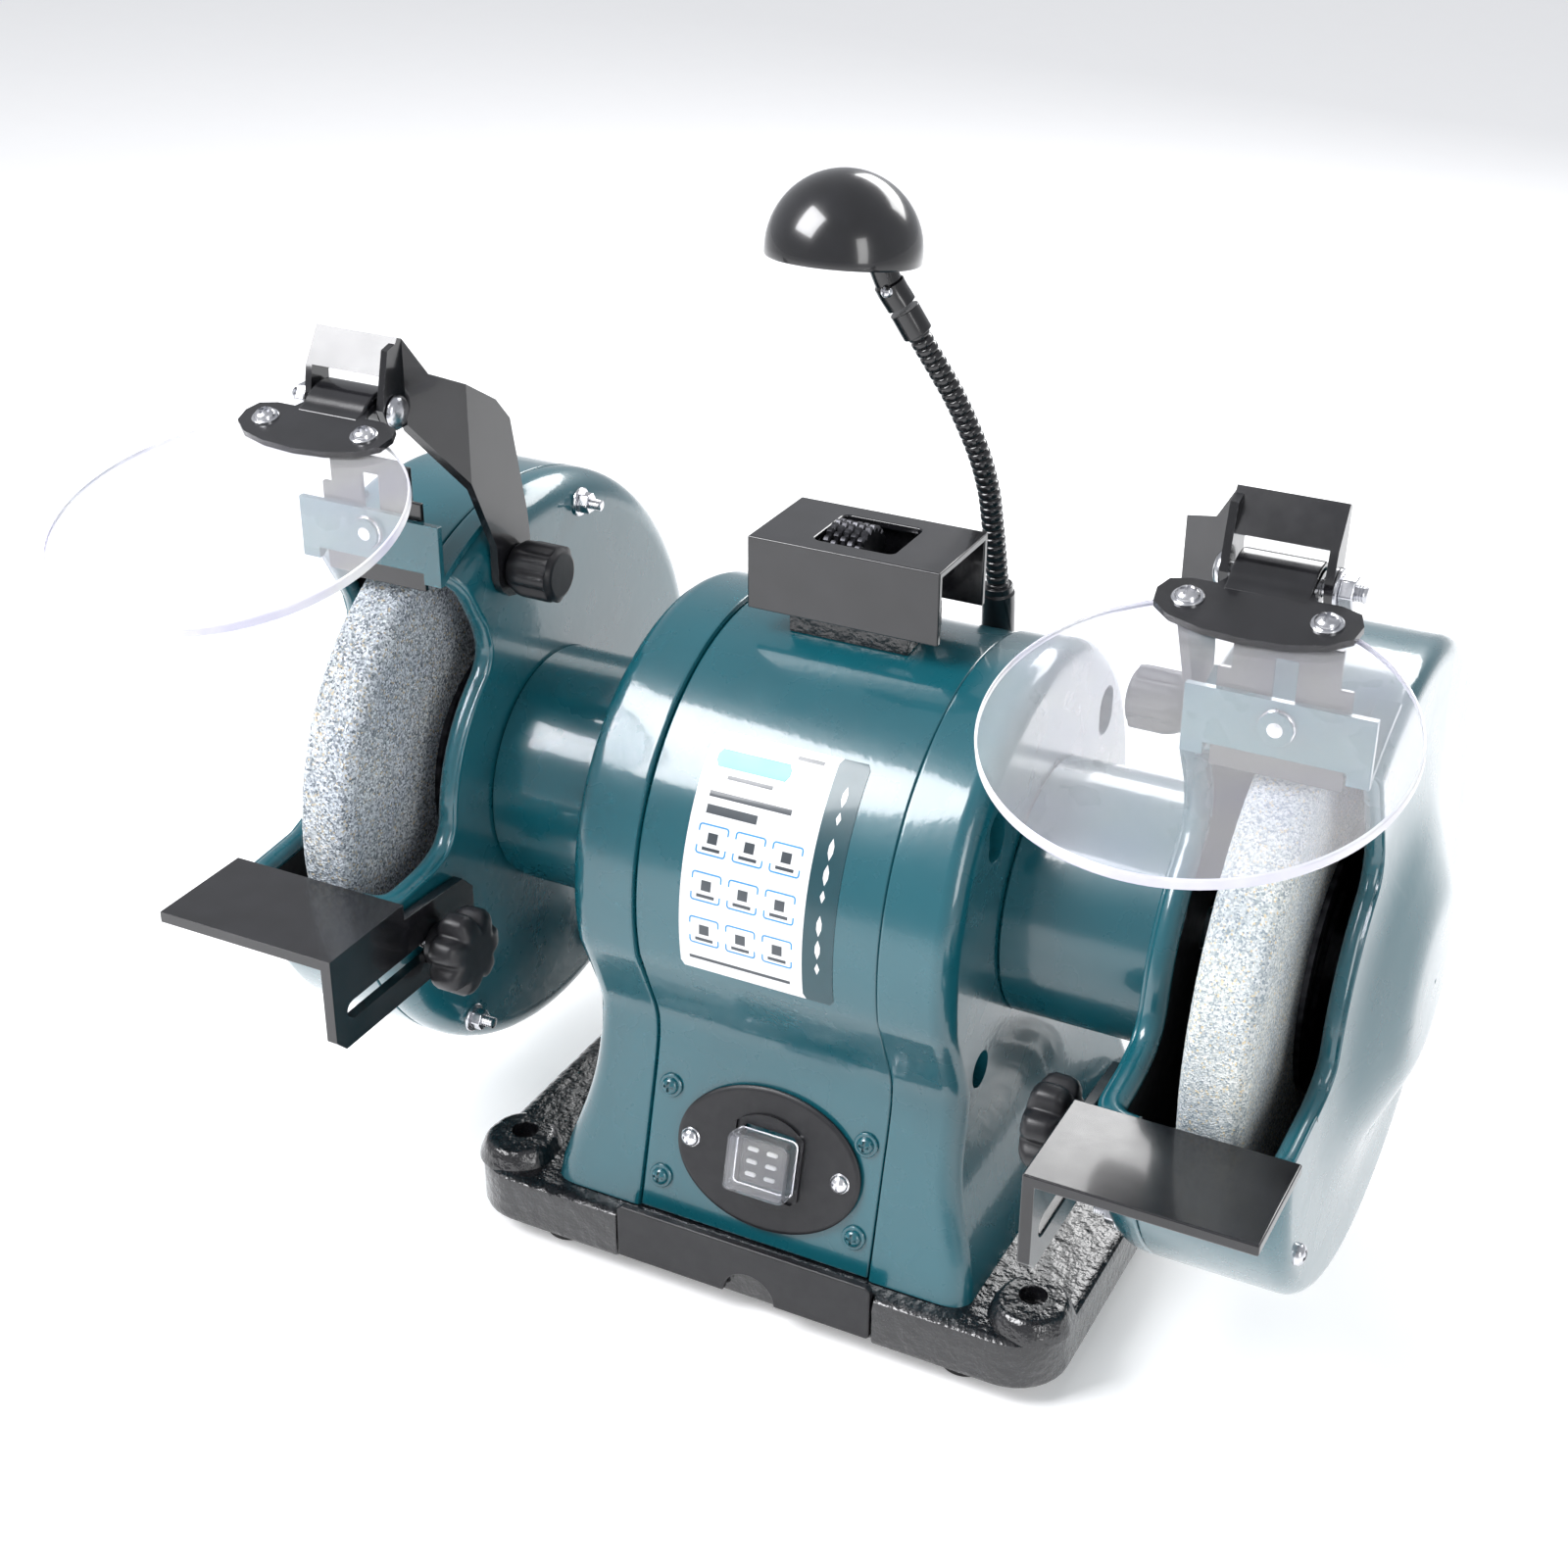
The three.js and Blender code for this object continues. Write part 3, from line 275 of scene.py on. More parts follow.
def ramp(mat, source, low, high, from_=0.35, to=0.65):
    node = mat.node_tree.nodes.new("ShaderNodeValToRGB")
    node.color_ramp.elements[0].position = from_
    node.color_ramp.elements[1].position = to
    node.color_ramp.elements[0].color = (*low, 1)
    node.color_ramp.elements[1].color = (*high, 1)
    mat.node_tree.links.new(source, node.inputs["Fac"])
    return node.outputs["Color"]


def to_range(mat, source, low, high):
    node = mat.node_tree.nodes.new("ShaderNodeMapRange")
    node.inputs["To Min"].default_value = low
    node.inputs["To Max"].default_value = high
    mat.node_tree.links.new(source, node.inputs["Value"])
    return node.outputs["Result"]


def blend_colour(mat, factor, a, b):
    node = mat.node_tree.nodes.new("ShaderNodeMix")
    node.data_type = "RGBA"
    mat.node_tree.links.new(factor, node.inputs["Factor"])
    for socket, value in (("A", a), ("B", b)):
        target = [s for s in node.inputs if s.name == socket and s.type == "RGBA"][0]
        if isinstance(value, tuple):
            target.default_value = (*value, 1)
        else:
            mat.node_tree.links.new(value, target)
    return [s for s in node.outputs if s.type == "RGBA"][0]


def bump(mat, source, height, strength=1.0, before=None):
    node = mat.node_tree.nodes.new("ShaderNodeBump")
    node.inputs["Distance"].default_value = height * MM
    node.inputs["Strength"].default_value = strength
    mat.node_tree.links.new(source, node.inputs["Height"])
    if before:
        mat.node_tree.links.new(before, node.inputs["Normal"])
    return node.outputs["Normal"]


def wire(mat, **sockets):
    shader = mat.node_tree.nodes["Principled BSDF"]
    for name, source in sockets.items():
        mat.node_tree.links.new(source, shader.inputs[name.replace("_", " ")])
    return mat


def edge_wear(mat, radius=0.5):
    """White along worn edges, broken up by noise: where a rounded normal leaves the true one."""
    nodes, links = mat.node_tree.nodes, mat.node_tree.links
    soft = nodes.new("ShaderNodeBevel")
    soft.samples = 4
    soft.inputs["Radius"].default_value = radius * MM
    geo = nodes.new("ShaderNodeNewGeometry")
    agree = nodes.new("ShaderNodeVectorMath")
    agree.operation = "DOT_PRODUCT"
    links.new(soft.outputs["Normal"], agree.inputs[0])
    links.new(geo.outputs["Normal"], agree.inputs[1])
    edge = ramp(mat, agree.outputs["Value"], (1, 1, 1), (0, 0, 0), 0.86, 0.97)
    broken = ramp(mat, noise(mat, 700), (0, 0, 0), (0.6, 0.6, 0.6), 0.52, 0.66)
    both = nodes.new("ShaderNodeMath")
    both.operation = "MULTIPLY"
    links.new(edge, both.inputs[0])
    links.new(broken, both.inputs[1])
    return both.outputs[0]


def teal_paint():
    """Glossy paint with orange peel and faint dust."""
    mat = new_material("teal_gloss", (0.005, 0.088, 0.114), 0.24, coat=0.9)
    tone = ramp(mat, noise(mat, 14, 3), (0.004, 0.078, 0.102), (0.006, 0.096, 0.124))
    colour = blend_colour(mat, edge_wear(mat), tone, (0.03, 0.16, 0.19))
    peel = bump(mat, noise(mat, 260, 2), 0.10, 0.35)
    grit = bump(mat, noise(mat, 1500, 2), 0.02, 0.3, peel)
    rough = to_range(mat, noise(mat, 60, 5), 0.2, 0.36)
    return wire(mat, Base_Color=colour, Roughness=rough, Normal=grit, Coat_Normal=peel)


def cast_paint():
    """Black paint over rough cast iron: hammered, wet-looking lumps."""
    mat = new_material("cast_black", (0.004, 0.004, 0.005), 0.3, coat=0.8, shine=0.5)
    tone = ramp(mat, noise(mat, 120, 5), (0.003, 0.003, 0.004), (0.008, 0.008, 0.010))
    colour = blend_colour(mat, edge_wear(mat), tone, (0.05, 0.05, 0.055))
    lumps = bump(mat, noise(mat, 230, 3), 1.1, 0.7)
    pits = bump(mat, noise(mat, 900, 0, kind="cells"), 0.25, 0.5, lumps)
    rough = to_range(mat, noise(mat, 200, 4), 0.16, 0.38)
    return wire(mat, Base_Color=colour, Roughness=rough, Normal=pits, Coat_Normal=lumps)


def sheet_paint(name, low, high, coat, peel_height):
    """Black powder coat on sheet steel."""
    mat = new_material(name, low, 0.35, coat=coat)
    tone = ramp(mat, noise(mat, 90, 4), low, high)
    colour = blend_colour(mat, edge_wear(mat), tone, (0.10, 0.10, 0.11))
    peel = bump(mat, noise(mat, 700, 3), peel_height, 0.5)
    rough = to_range(mat, noise(mat, 150, 5), 0.16, 0.3)
    return wire(mat, Base_Color=colour, Roughness=rough, Normal=peel)


def moulded(name, low, high, rough_low, rough_high, grain=0.05):
    mat = new_material(name, low, rough_low, shine=0.5)
    tone = ramp(mat, noise(mat, 200, 4), low, high)
    colour = blend_colour(mat, edge_wear(mat), tone, tuple(min(1, c * 3 + 0.02) for c in high))
    skin = bump(mat, noise(mat, 2200, 2), grain, 0.5)
    rough = to_range(mat, noise(mat, 250, 4), rough_low, rough_high)
    return wire(mat, Base_Color=colour, Roughness=rough, Normal=skin)


def metal(name, low, high, rough_low, rough_high, stretch=(1, 1, 1), marks=0.03):
    mat = new_material(name, low, rough_low, metal=1.0)
    tone = ramp(mat, noise(mat, 220, 5, stretch), low, high)
    lines = bump(mat, noise(mat, 1400, 3, stretch), marks, 0.5)
    rough = to_range(mat, noise(mat, 500, 4, stretch), rough_low, rough_high)
    return wire(mat, Base_Color=tone, Roughness=rough, Normal=lines)


def abrasive(name, dark, mid, pale, cells):
    """Bonded grit: every grain has its own tone, with pores between them."""
    mat = new_material(name, mid, 0.85)
    tree = mat.node_tree
    where = tree.nodes.new("ShaderNodeTexCoord")
    grains = tree.nodes.new("ShaderNodeTexVoronoi")
    grains.inputs["Scale"].default_value = cells
    tree.links.new(where.outputs["Object"], grains.inputs["Vector"])
    split = tree.nodes.new("ShaderNodeSeparateColor")
    tree.links.new(grains.outputs["Color"], split.inputs["Color"])
    tone = tree.nodes.new("ShaderNodeValToRGB")
    stops = tone.color_ramp.elements
    stops[0].color, stops[1].color = (*dark, 1), (*pale, 1)
    stops[0].position, stops[1].position = 0.05, 0.95
    middle = stops.new(0.5)
    middle.color = (*mid, 1)
    tree.links.new(split.outputs["Red"], tone.inputs["Fac"])
    rare = ramp(mat, split.outputs["Green"], (0, 0, 0), (1, 1, 1), 0.93, 0.95)
    warm = tuple(c * k for c, k in zip(mid, (1.25, 1.0, 0.68)))
    grain = blend_colour(mat, rare, tone.outputs["Color"], warm)
    patches = ramp(mat, noise(mat, 45, 4), (0.86, 0.88, 0.91), (1.06, 1.05, 1.02))
    shade = tree.nodes.new("ShaderNodeMix")
    shade.data_type = "RGBA"
    shade.blend_type = "MULTIPLY"
    shade.inputs["Factor"].default_value = 1
    tree.links.new(grain, shade.inputs[6])
    tree.links.new(patches, shade.inputs[7])
    pores = bump(mat, grains.outputs["Distance"], 0.5, 0.8)
    fine = bump(mat, noise(mat, cells * 1.8, 3), 0.25, 0.6, pores)
    rough = to_range(mat, noise(mat, cells, 2), 0.7, 0.95)
    return wire(mat, Base_Color=shade.outputs[2], Roughness=rough, Normal=fine)


def clear_sheet(name, tint, rough_low, rough_high, clear):
    """Clear polycarbonate with faint handling marks."""
    mat = new_material(name, tint, rough_low)
    shader = mat.node_tree.nodes["Principled BSDF"]
    shader.inputs["Transmission Weight"].default_value = clear
    shader.inputs["IOR"].default_value = 1.35
    tone = ramp(mat, noise(mat, 40, 3), tint, (1, 1, 1))
    rough = to_range(mat, noise(mat, 90, 6), rough_low, rough_high)
    marks = bump(mat, noise(mat, 25, 2), 0.02, 0.1)
    return wire(mat, Base_Color=tone, Roughness=rough, Normal=marks)


TEAL = teal_paint()
CAST = cast_paint()
SATIN = sheet_paint("satin_black", (0.005, 0.005, 0.006), (0.009, 0.009, 0.011), 0.5, 0.02)
GLOSS = sheet_paint("gloss_black", (0.005, 0.005, 0.006), (0.008, 0.008, 0.010), 0.7, 0.005)
PLASTIC = moulded("black_moulding", (0.007, 0.007, 0.009), (0.012, 0.012, 0.014), 0.32, 0.5)
RUBBER = moulded("foot_rubber", (0.006, 0.006, 0.006), (0.014, 0.014, 0.014), 0.7, 0.9, 0.1)
ZINC = metal("zinc_plate", (0.52, 0.53, 0.56), (0.78, 0.78, 0.80), 0.14, 0.34)
DARK_STEEL = metal("black_steel", (0.045, 0.045, 0.05), (0.10, 0.10, 0.11), 0.3, 0.5)
COPPER = metal("winding_wire", (0.50, 0.19, 0.07), (0.66, 0.27, 0.10), 0.3, 0.5, (1, 6, 6))
COARSE = abrasive("coarse_grit", (0.14, 0.165, 0.19), (0.46, 0.50, 0.54), (0.82, 0.86, 0.90), 1400)
FINE = abrasive("fine_grit", (0.30, 0.36, 0.40), (0.60, 0.64, 0.64), (0.84, 0.86, 0.85), 1700)
INSIDE = moulded("guard_inside", (0.003, 0.003, 0.004), (0.008, 0.008, 0.009), 0.5, 0.8, 0.1)
CLEAR = clear_sheet("clear_sheet", (0.93, 0.93, 0.985), 0.0, 0.03, 0.86)
EDGE = clear_sheet("clear_edge", (0.80, 0.79, 0.95), 0.08, 0.2, 0.35)
BOX_CLEAR = clear_sheet("clear_box", (0.72, 0.74, 0.82), 0.02, 0.08, 0.92)
REFLECTOR = moulded("reflector_white", (0.75, 0.75, 0.72), (0.85, 0.85, 0.82), 0.2, 0.3, 0.01)


# ---- motor body ------------------------------------------------------------------------------
RECESS_R = 6.6  # half the width of the recesses in an end bell's face


def body_side(r, grow):
    """Front edge of the motor body from its top to its sole, as (half depth, z)."""
    top = [(r * math.cos(math.radians(a)), AXIS_Z + r * math.sin(math.radians(a)))
           for a in range(90, -13, -3)]
    waist = spline([top[-1], (73.6 + grow, AXIS_Z - 35), (69.2 + grow, AXIS_Z - 46),
                    (68.2 + grow, AXIS_Z - 54), (69.4 + grow, AXIS_Z - 64),
                    (74.3 + grow, AXIS_Z - 84), (SOLE_Y - 0.1 + grow, SOLE_Z)], 5)
    return top + [tuple(p) for p in waist[1:]]


def stator_housing():
    side = body_side(STATOR_R, 0)
    outline = [(-y, z) for y, z in side] + [(y, z) for y, z in reversed(side[1:])]
    piece = prism("motor_housing", outline, -PART_X, PART_X, "x", TEAL, sharp=50)
    bevel(piece, 0.7, 2, 60)
    return place(piece, "frame", "teal_paint", "stator_housing")


def smooth_step(x):
    x = max(0.0, min(1.0, x))
    return x * x * (3 - 2 * x)


def end_bell(side_name):
    """A shell with a broad rounded shoulder, a flat face and feet that splay outwards."""
    full = body_side(BELL_R, 0.8)
    round_ = 7.5
    flare = bell_hi.x - BELL_FACE
    rings = []
    steps = 8
    levels = [(PART_X + 0.3, 1.2), (PART_X + 0.7, 0.3), (PART_X + 1.6, 0.0)]
    for i in range(steps + 1):
        a = math.radians(90 * i / steps)
        levels.append((BELL_FACE - round_ + round_ * math.sin(a), round_ * (1 - math.cos(a))))
    for x, inset in levels:
        ring = []
        for i, (y, z) in enumerate(full):
            splay = flare * smooth_step((AXIS_Z - 62 - z) / (AXIS_Z - 62 - SOLE_Z)) ** 1.6
            reach = (x - PART_X) / (BELL_FACE - PART_X)
            ahead = Vector(full[min(i + 1, len(full) - 1)]) - Vector(full[max(i - 1, 0)])
            normal = Vector((-ahead.y, ahead.x)).normalized()
            ring.append((x + splay * reach, max(0.0, y - inset * abs(normal.x)),
                         z - inset * max(0.0, normal.y)))
        rings.append(ring)
    n = len(full)
    around = [ring + [(x, -y, z) for x, y, z in reversed(ring[1:])] for ring in rings]
    verts, faces = loft(around, closed=True, capped=False)
    # The flat face is closed by strips from front to back, so that it can follow the splay.
    last = (len(around) - 1) * len(around[0])
    m = len(around[0])
    for i in range(1, n - 1):
        faces.append((last + i, last + i + 1, last + m - i - 1, last + m - i))
    faces.append((last, last + 1, last + m - 1))
    for i in range(1, n - 1):
        faces.append((m - i, m - i - 1, i + 1, i))
    faces.append((m - 1, 1, 0))
    side = SIDES[side_name]
    piece = mesh_piece(side_name + "_bell_shell", verts, faces, TEAL, side, 55)
    holes = []
    for y, z, long_ in ((-50, 46, 1), (50, 46, 1), (-54, -44, 0), (54, -44, 0)):
        outline = rounded_rect(y - RECESS_R, y + RECESS_R, AXIS_Z + z - RECESS_R - 5 * long_,
                               AXIS_Z + z + RECESS_R, 6.5, 8)
        holes.append(prism("recess", outline, BELL_FACE - 11, BELL_FACE + 6, "x", TEAL, side))
    carve(piece, *holes)
    bevel(piece, 0.6, 2, 60)
    return place(piece, "frame", "teal_paint", side_name + "_end_bell")


def spindle_tube(side_name):
    """Steel tube with a pressed collar where it meets the end bell."""
    x0, x1 = tube_lo.x, tube_hi.x
    r = TUBE_R
    profile = [(r - 3, x0), (r - 0.6, x0), (r, x0 + 0.7), (r, x1 - 0.7), (r - 0.6, x1),
               (r - 3, x1), (r - 3, x0)]
    piece = turned(side_name + "_tube", profile, TEAL, at=(0, 0, AXIS_Z), side=SIDES[side_name],
                   segments=128)
    return place(piece, "frame", "teal_paint", side_name + "_spindle_tube")


# ---- guards ----------------------------------------------------------------------------------
FILLET = 15.0  # rounding of the two inner corners of a guard's open front
FILLET_REACH = MOUTH_R + FILLET
FILLET_ANGLE = math.asin(FILLET / FILLET_REACH)
FILLET_START = FILLET_REACH * math.cos(FILLET_ANGLE)
DRUM_STEPS, MOUTH_STEPS, LIP_STEPS = 160, 60, 70
LIP_SINK = 0.75  # how far a bead sits into its wall, as a share of its radius


def mouth_radius(a):
    """Distance from the spindle to the edge of the open front, at an angle inside it."""
    d = min(a - MOUTH_TOP, MOUTH_LOW - a)
    if d >= FILLET_ANGLE:
        return MOUTH_R
    off = FILLET_REACH * math.sin(FILLET_ANGLE - d)
    return FILLET_REACH * math.cos(FILLET_ANGLE - d) - math.sqrt(max(0, FILLET ** 2 - off * off))


def x_on(profile, r):
    """The outline's x where it first reaches a radius."""
    for (r0, x0), (r1, x1) in zip(profile, profile[1:]):
        if r0 <= r <= r1 and r1 > r0:
            return x0 + (x1 - x0) * (r - r0) / (r1 - r0)
    return profile[-1][1]


def split_at(points, radius):
    """The outline with an extra point where it crosses a radius."""
    out = []
    for (r0, x0), (r1, x1) in zip(points, points[1:]):
        out.append((r0, x0))
        if r0 < radius < r1:
            out.append((radius, x0 + (x1 - x0) * (radius - r0) / (r1 - r0)))
    return out + [points[-1]]


def fill_profile(points, gap=6.0):
    """Adds points so that no stretch of an outline is longer than gap."""
    out = []
    for (r0, x0), (r1, x1) in zip(points, points[1:]):
        n = max(1, int(math.hypot(r1 - r0, x1 - x0) / gap))
        out += [(r0 + (r1 - r0) * i / n, x0 + (x1 - x0) * i / n) for i in range(n)]
    return out + [points[-1]]


def guard_skin(name, outline, thick, side_name, edge):
    """A turned skin, teal outside and black inside, with the open front left out."""
    profile = fill_profile(split_at(outline, FILLET_START), 5)
    inner = [q for q in profile if q[0] <= FILLET_START + 1e-6]
    verts, faces = [], []

    def column(a, points):
        first = len(verts)
        verts.extend((x, r * math.cos(a), AXIS_Z + r * math.sin(a)) for r, x in points)
        return first

    start, end = MOUTH_LOW, MOUTH_TOP + TAU
    full = [column(start + (end - start) * i / DRUM_STEPS, profile)
            for i in range(DRUM_STEPS + 1)]
    short = []
    for i in range(1, MOUTH_STEPS):
        a = MOUTH_TOP + (MOUTH_LOW - MOUTH_TOP) * i / MOUTH_STEPS
        share = (mouth_radius(a) - inner[0][0]) / (FILLET_START - inner[0][0])
        radii = [inner[0][0] + (r - inner[0][0]) * share for r, _ in inner]
        short.append(column(a, [(r, x_on(profile, r)) for r in radii]))
    for a, b in zip(full, full[1:]):
        for k in range(len(profile) - 1):
            faces.append((a + k, a + k + 1, b + k + 1, b + k))
    chain = [full[-1]] + short + [full[0]]
    for a, b in zip(chain, chain[1:]):
        for k in range(len(inner) - 1):
            faces.append((a + k, a + k + 1, b + k + 1, b + k))
    piece = mesh_piece(name, verts, faces, TEAL, SIDES[side_name], 70)
    piece.data.materials.append(INSIDE)
    wall = piece.modifiers.new("wall", "SOLIDIFY")
    wall.thickness = thick * MM
    wall.offset = -1
    wall.material_offset = 1
    settle(piece, 70)
    return bevel(piece, edge, 3, 50)


def guard_lip(name, outline, r, inside, side_name):
    """The rolled edge of the open front: a bead that follows the whole of the opening."""
    rim = [q for q in fill_profile(split_at(outline, FILLET_START), 3) if q[0] >= FILLET_START]
    edge = []
    for k in range(len(rim) - 1, -1, -1):
        edge.append((rim[k], MOUTH_TOP, rim[max(k - 1, 0)], rim[min(k + 1, len(rim) - 1)]))
    for i in range(1, LIP_STEPS):
        a = MOUTH_TOP + (MOUTH_LOW - MOUTH_TOP) * i / LIP_STEPS
        m = mouth_radius(a)
        near, far = (m - 1, x_on(outline, m - 1)), (m + 1, x_on(outline, m + 1))
        edge.append(((m, x_on(outline, m)), a, near, far))
    for k in range(len(rim)):
        edge.append((rim[k], MOUTH_LOW, rim[max(k - 1, 0)], rim[min(k + 1, len(rim) - 1)]))
    flat = [Vector((q[0] * math.cos(a), q[0] * math.sin(a))) for q, a, _, _ in edge]
    path = []
    for i, (q, a, near, far) in enumerate(edge):
        tangent = Vector((far[0] - near[0], far[1] - near[1])).normalized()
        normal = Vector((-tangent.y, tangent.x))
        if normal.dot(Vector((-1, inside))) < 0:
            normal = -normal
        ahead = flat[min(i + 1, len(flat) - 1)] - flat[max(i - 1, 0)]
        if ahead.length < 1e-3:
            ahead = Vector((-math.cos(a), -math.sin(a))) * (1 if a == MOUTH_TOP else -1)
        ahead.normalize()
        in_wall = Vector((-ahead.y, ahead.x)) * (LIP_SINK * r)
        if abs(q[0] - GUARD_R) < 0.01:
            sunk = -LIP_SINK * r if a == MOUTH_TOP else LIP_SINK * r
            in_wall = Vector((-math.sin(a), math.cos(a))) * sunk
        out_r = q[0] + normal.x * r
        path.append(Vector((q[1] + normal.y * r, out_r * math.cos(a) + in_wall.x,
                            AXIS_Z + out_r * math.sin(a) + in_wall.y)))
    bead = swept(name, relaxed(path, 3), lambda s: r, TEAL, 20, 80, SIDES[side_name])
    return place(bead, "frame", "teal_paint")


def relaxed(path, rounds):
    """The path with its kinks eased out; the ends stay where they are."""
    for _ in range(rounds):
        eased = [(a + b * 2 + c) / 4 for a, b, c in zip(path, path[1:], path[2:])]
        path = [path[0]] + eased + [path[-1]]
    return path


def guard_casting(side_name):
    x = casting_lo.x
    rim = [tuple(p) for p in arc(GUARD_R - 12, x + 12, 12, -90, 0, 8)]
    outline = [(14, x), (40, x), (60, x)] + rim + [(GUARD_R, casting_hi.x)]
    piece = guard_skin(side_name + "_guard_wall", outline, 3.6, side_name, 1.5)
    guard_lip(side_name + "_wall_lip", outline, 4.3, 1, side_name)
    return place(piece, "frame", "teal_paint", side_name + "_guard_casting")


def guard_cover(side_name):
    """Drum and outer wall, with the bulge over the end of the spindle."""
    out = cover_hi.x
    face = out - 15
    bulge = [tuple(p) for p in spline([(18, out - 0.1), (30, out - 1.2), (44, out - 6.5),
                                       (58, face + 3.0), (72, face + 0.6), (84, face)], 4)]
    rim = [tuple(p) for p in arc(GUARD_R - 7, face - 7, 7, 90, 0, 6)]
    outline = [(0.5, out), (10, out)] + bulge + rim + [(GUARD_R, cover_lo.x)]
    piece = guard_skin(side_name + "_guard_drum", outline, 2.6, side_name, 1.1)
    guard_lip(side_name + "_drum_lip", outline, 3.4, -1, side_name)
    return place(piece, "frame", "teal_paint", side_name + "_guard_cover")


# ---- base ------------------------------------------------------------------------------------
LUG_X, LUG_Y = 101.5, 72  # middle of a bolt lug, either side of the base's own middle
NOTCH_X, NOTCH_R = 3, 10  # the half-round notch in the front cover plate


def base_casting():
    """Rounded slab with four raised lugs, each with a spot face beside it."""
    w, d = base_hi.x, base_hi.y
    top = base_hi.z - 6.5
    rings = []
    for inset, z in ((1.6, base_lo.z), (0.4, base_lo.z + 0.8), (0, base_lo.z + 2.4),
                     (0, top - 4), (0.7, top - 1.6), (2.4, top - 0.4), (5, top)):
        outline = rounded_rect(-w + inset, w - inset, -d + inset, d - inset, 20 - inset * 0.6, 8)
        rings.append([(a, b, z) for a, b in outline])
    verts, faces = loft(rings)
    piece = mesh_piece("base_slab", verts, faces, CAST, sharp=60)
    cover_l, cover_h = cad("base_cover")
    cuts = [block("window", (cover_l.x - 0.6, -d - 3, base_lo.z - 2),
                  (cover_h.x + 0.6, cover_h.y + 0.4, top + 2), CAST),
            block("hollow", (-64, -d + 6, base_lo.z - 2), (64, d - 6, top - 6), CAST)]
    carve(piece, *cuts)
    bevel(piece, 0.8, 2, 60)
    place(piece, "frame", "cast_black", "base_casting")
    for sx in (-1, 1):
        for sy in (-1, 1):
            base_lug(sx, sy, top)
    return piece


def base_lug(sx, sy, top):
    """Raised pad round a bolt hole, spreading to the slab's corner."""
    cx, cy = sx * LUG_X, sy * LUG_Y
    name = "lug_" + ("front" if sy < 0 else "back") + ("_left" if sx < 0 else "_right")
    rings = []
    for grow, z in ((1.5, top - 1.5), (1.2, top), (0.3, top + 2.2), (-0.6, top + 4.6),
                    (-1.8, top + 6.0), (-3.4, top + 6.5)):
        ring = []
        for i in range(56):
            a = TAU * i / 56
            u, v = math.cos(a), math.sin(a)
            reach = 12.5 + grow
            reach += 1.2 * max(0, u * sx) + 3.5 * max(0, v * sy)
            ring.append((cx + reach * u, cy + reach * v, z))
        rings.append(ring)
    verts, faces = loft(rings)
    lug = mesh_piece(name, verts, faces, CAST, sharp=60)
    hole = turned("hole", [(4.6, top - 8), (4.6, top + 5.6), (6.2, top + 9)], CAST, "z", (cx, cy, 0),
                  32)
    scoop = turned("scoop", [(0.2, top + 1.2), (8.5, top + 1.2), (9.5, top + 9)], CAST, "z",
                   (cx - sx * 1.5, cy - sy * 15.5, 0), 32)
    carve(lug, hole, scoop)
    bevel(lug, 0.6, 2, 45)
    return place(lug, "frame", "cast_black")


def rubber_feet():
    for where in ("back_right", "back_left", "front_left", "front_right"):
        lo, hi = cad("foot_" + where)
        c = (lo + hi) / 2
        r = (hi.x - lo.x) / 2
        profile = [(0.3, 0.0), (r - 3, 0), (r - 2, 0.5), (r - 1.4, 2), (r - 0.6, hi.z - 1.5),
                   (r, hi.z - 1), (r, hi.z), (0.3, hi.z)]
        foot = turned("rubber_foot_" + where, profile, RUBBER, "z", (c.x, c.y, 0), 48)
        place(foot, "frame", "rubber", "foot_" + where)


def base_cover():
    """Moulded plate with chamfered corners and a half-round notch in its lower edge."""
    lo, hi = cad("base_cover")
    outline = ([(lo.z, lo.x + 0.8), (lo.z, NOTCH_X - NOTCH_R)]
               + arc(lo.z, NOTCH_X, NOTCH_R, -90, 90, 20)
               + [(lo.z, hi.x - 0.8), (lo.z + 0.8, hi.x), (hi.z - 1.5, hi.x), (hi.z, hi.x - 1.5),
                  (hi.z, lo.x + 1.5), (hi.z - 1.5, lo.x), (lo.z + 0.8, lo.x)])
    plate = prism("cover_plate", outline, lo.y, hi.y, "y", PLASTIC, sharp=30)
    bevel(plate, 0.5, 2, 40)
    return place(plate, "frame", "black_plastic", "base_cover")


# ---- spindle ---------------------------------------------------------------------------------
def wheel(side_name, material):
    """Grinding wheel with dressed corners and a slightly uneven rim."""
    rng = random.Random(7 if side_name == "left" else 11)
    x0, x1 = wheel_lo.x, wheel_hi.x
    r = WHEEL_R
    profile = [(9, x0), (30, x0), (60, x0), (r - 4, x0), (r - 1.2, x0 + 1.6), (r - 0.1, x0 + 3.2),
               (r - 0.1, (x0 + x1) / 2), (r - 0.1, x1 - 3.2), (r - 1.2, x1 - 1.6), (r - 4, x1),
               (60, x1), (30, x1), (9, x1)]
    fine = [(q[0], q[1]) for q in fill_profile(profile + [profile[0]], 2.4)]
    segments = 300
    rings = []
    for rr, x in fine:
        ring = []
        for i in range(segments):
            a = TAU * i / segments
            chip = rng.uniform(0, 0.32) if rr > r - 6 else rng.uniform(0, 0.10)
            ring.append((x, (rr - chip) * math.cos(a), AXIS_Z + (rr - chip) * math.sin(a)))
        rings.append(ring)
    verts, faces = loft(rings, capped=False)
    piece = mesh_piece(side_name + "_stone", verts, faces, material, SIDES[side_name], 80)
    slot = "coarse_grit" if side_name == "left" else "fine_grit"
    return place(piece, "spindle", slot, side_name + "_wheel")


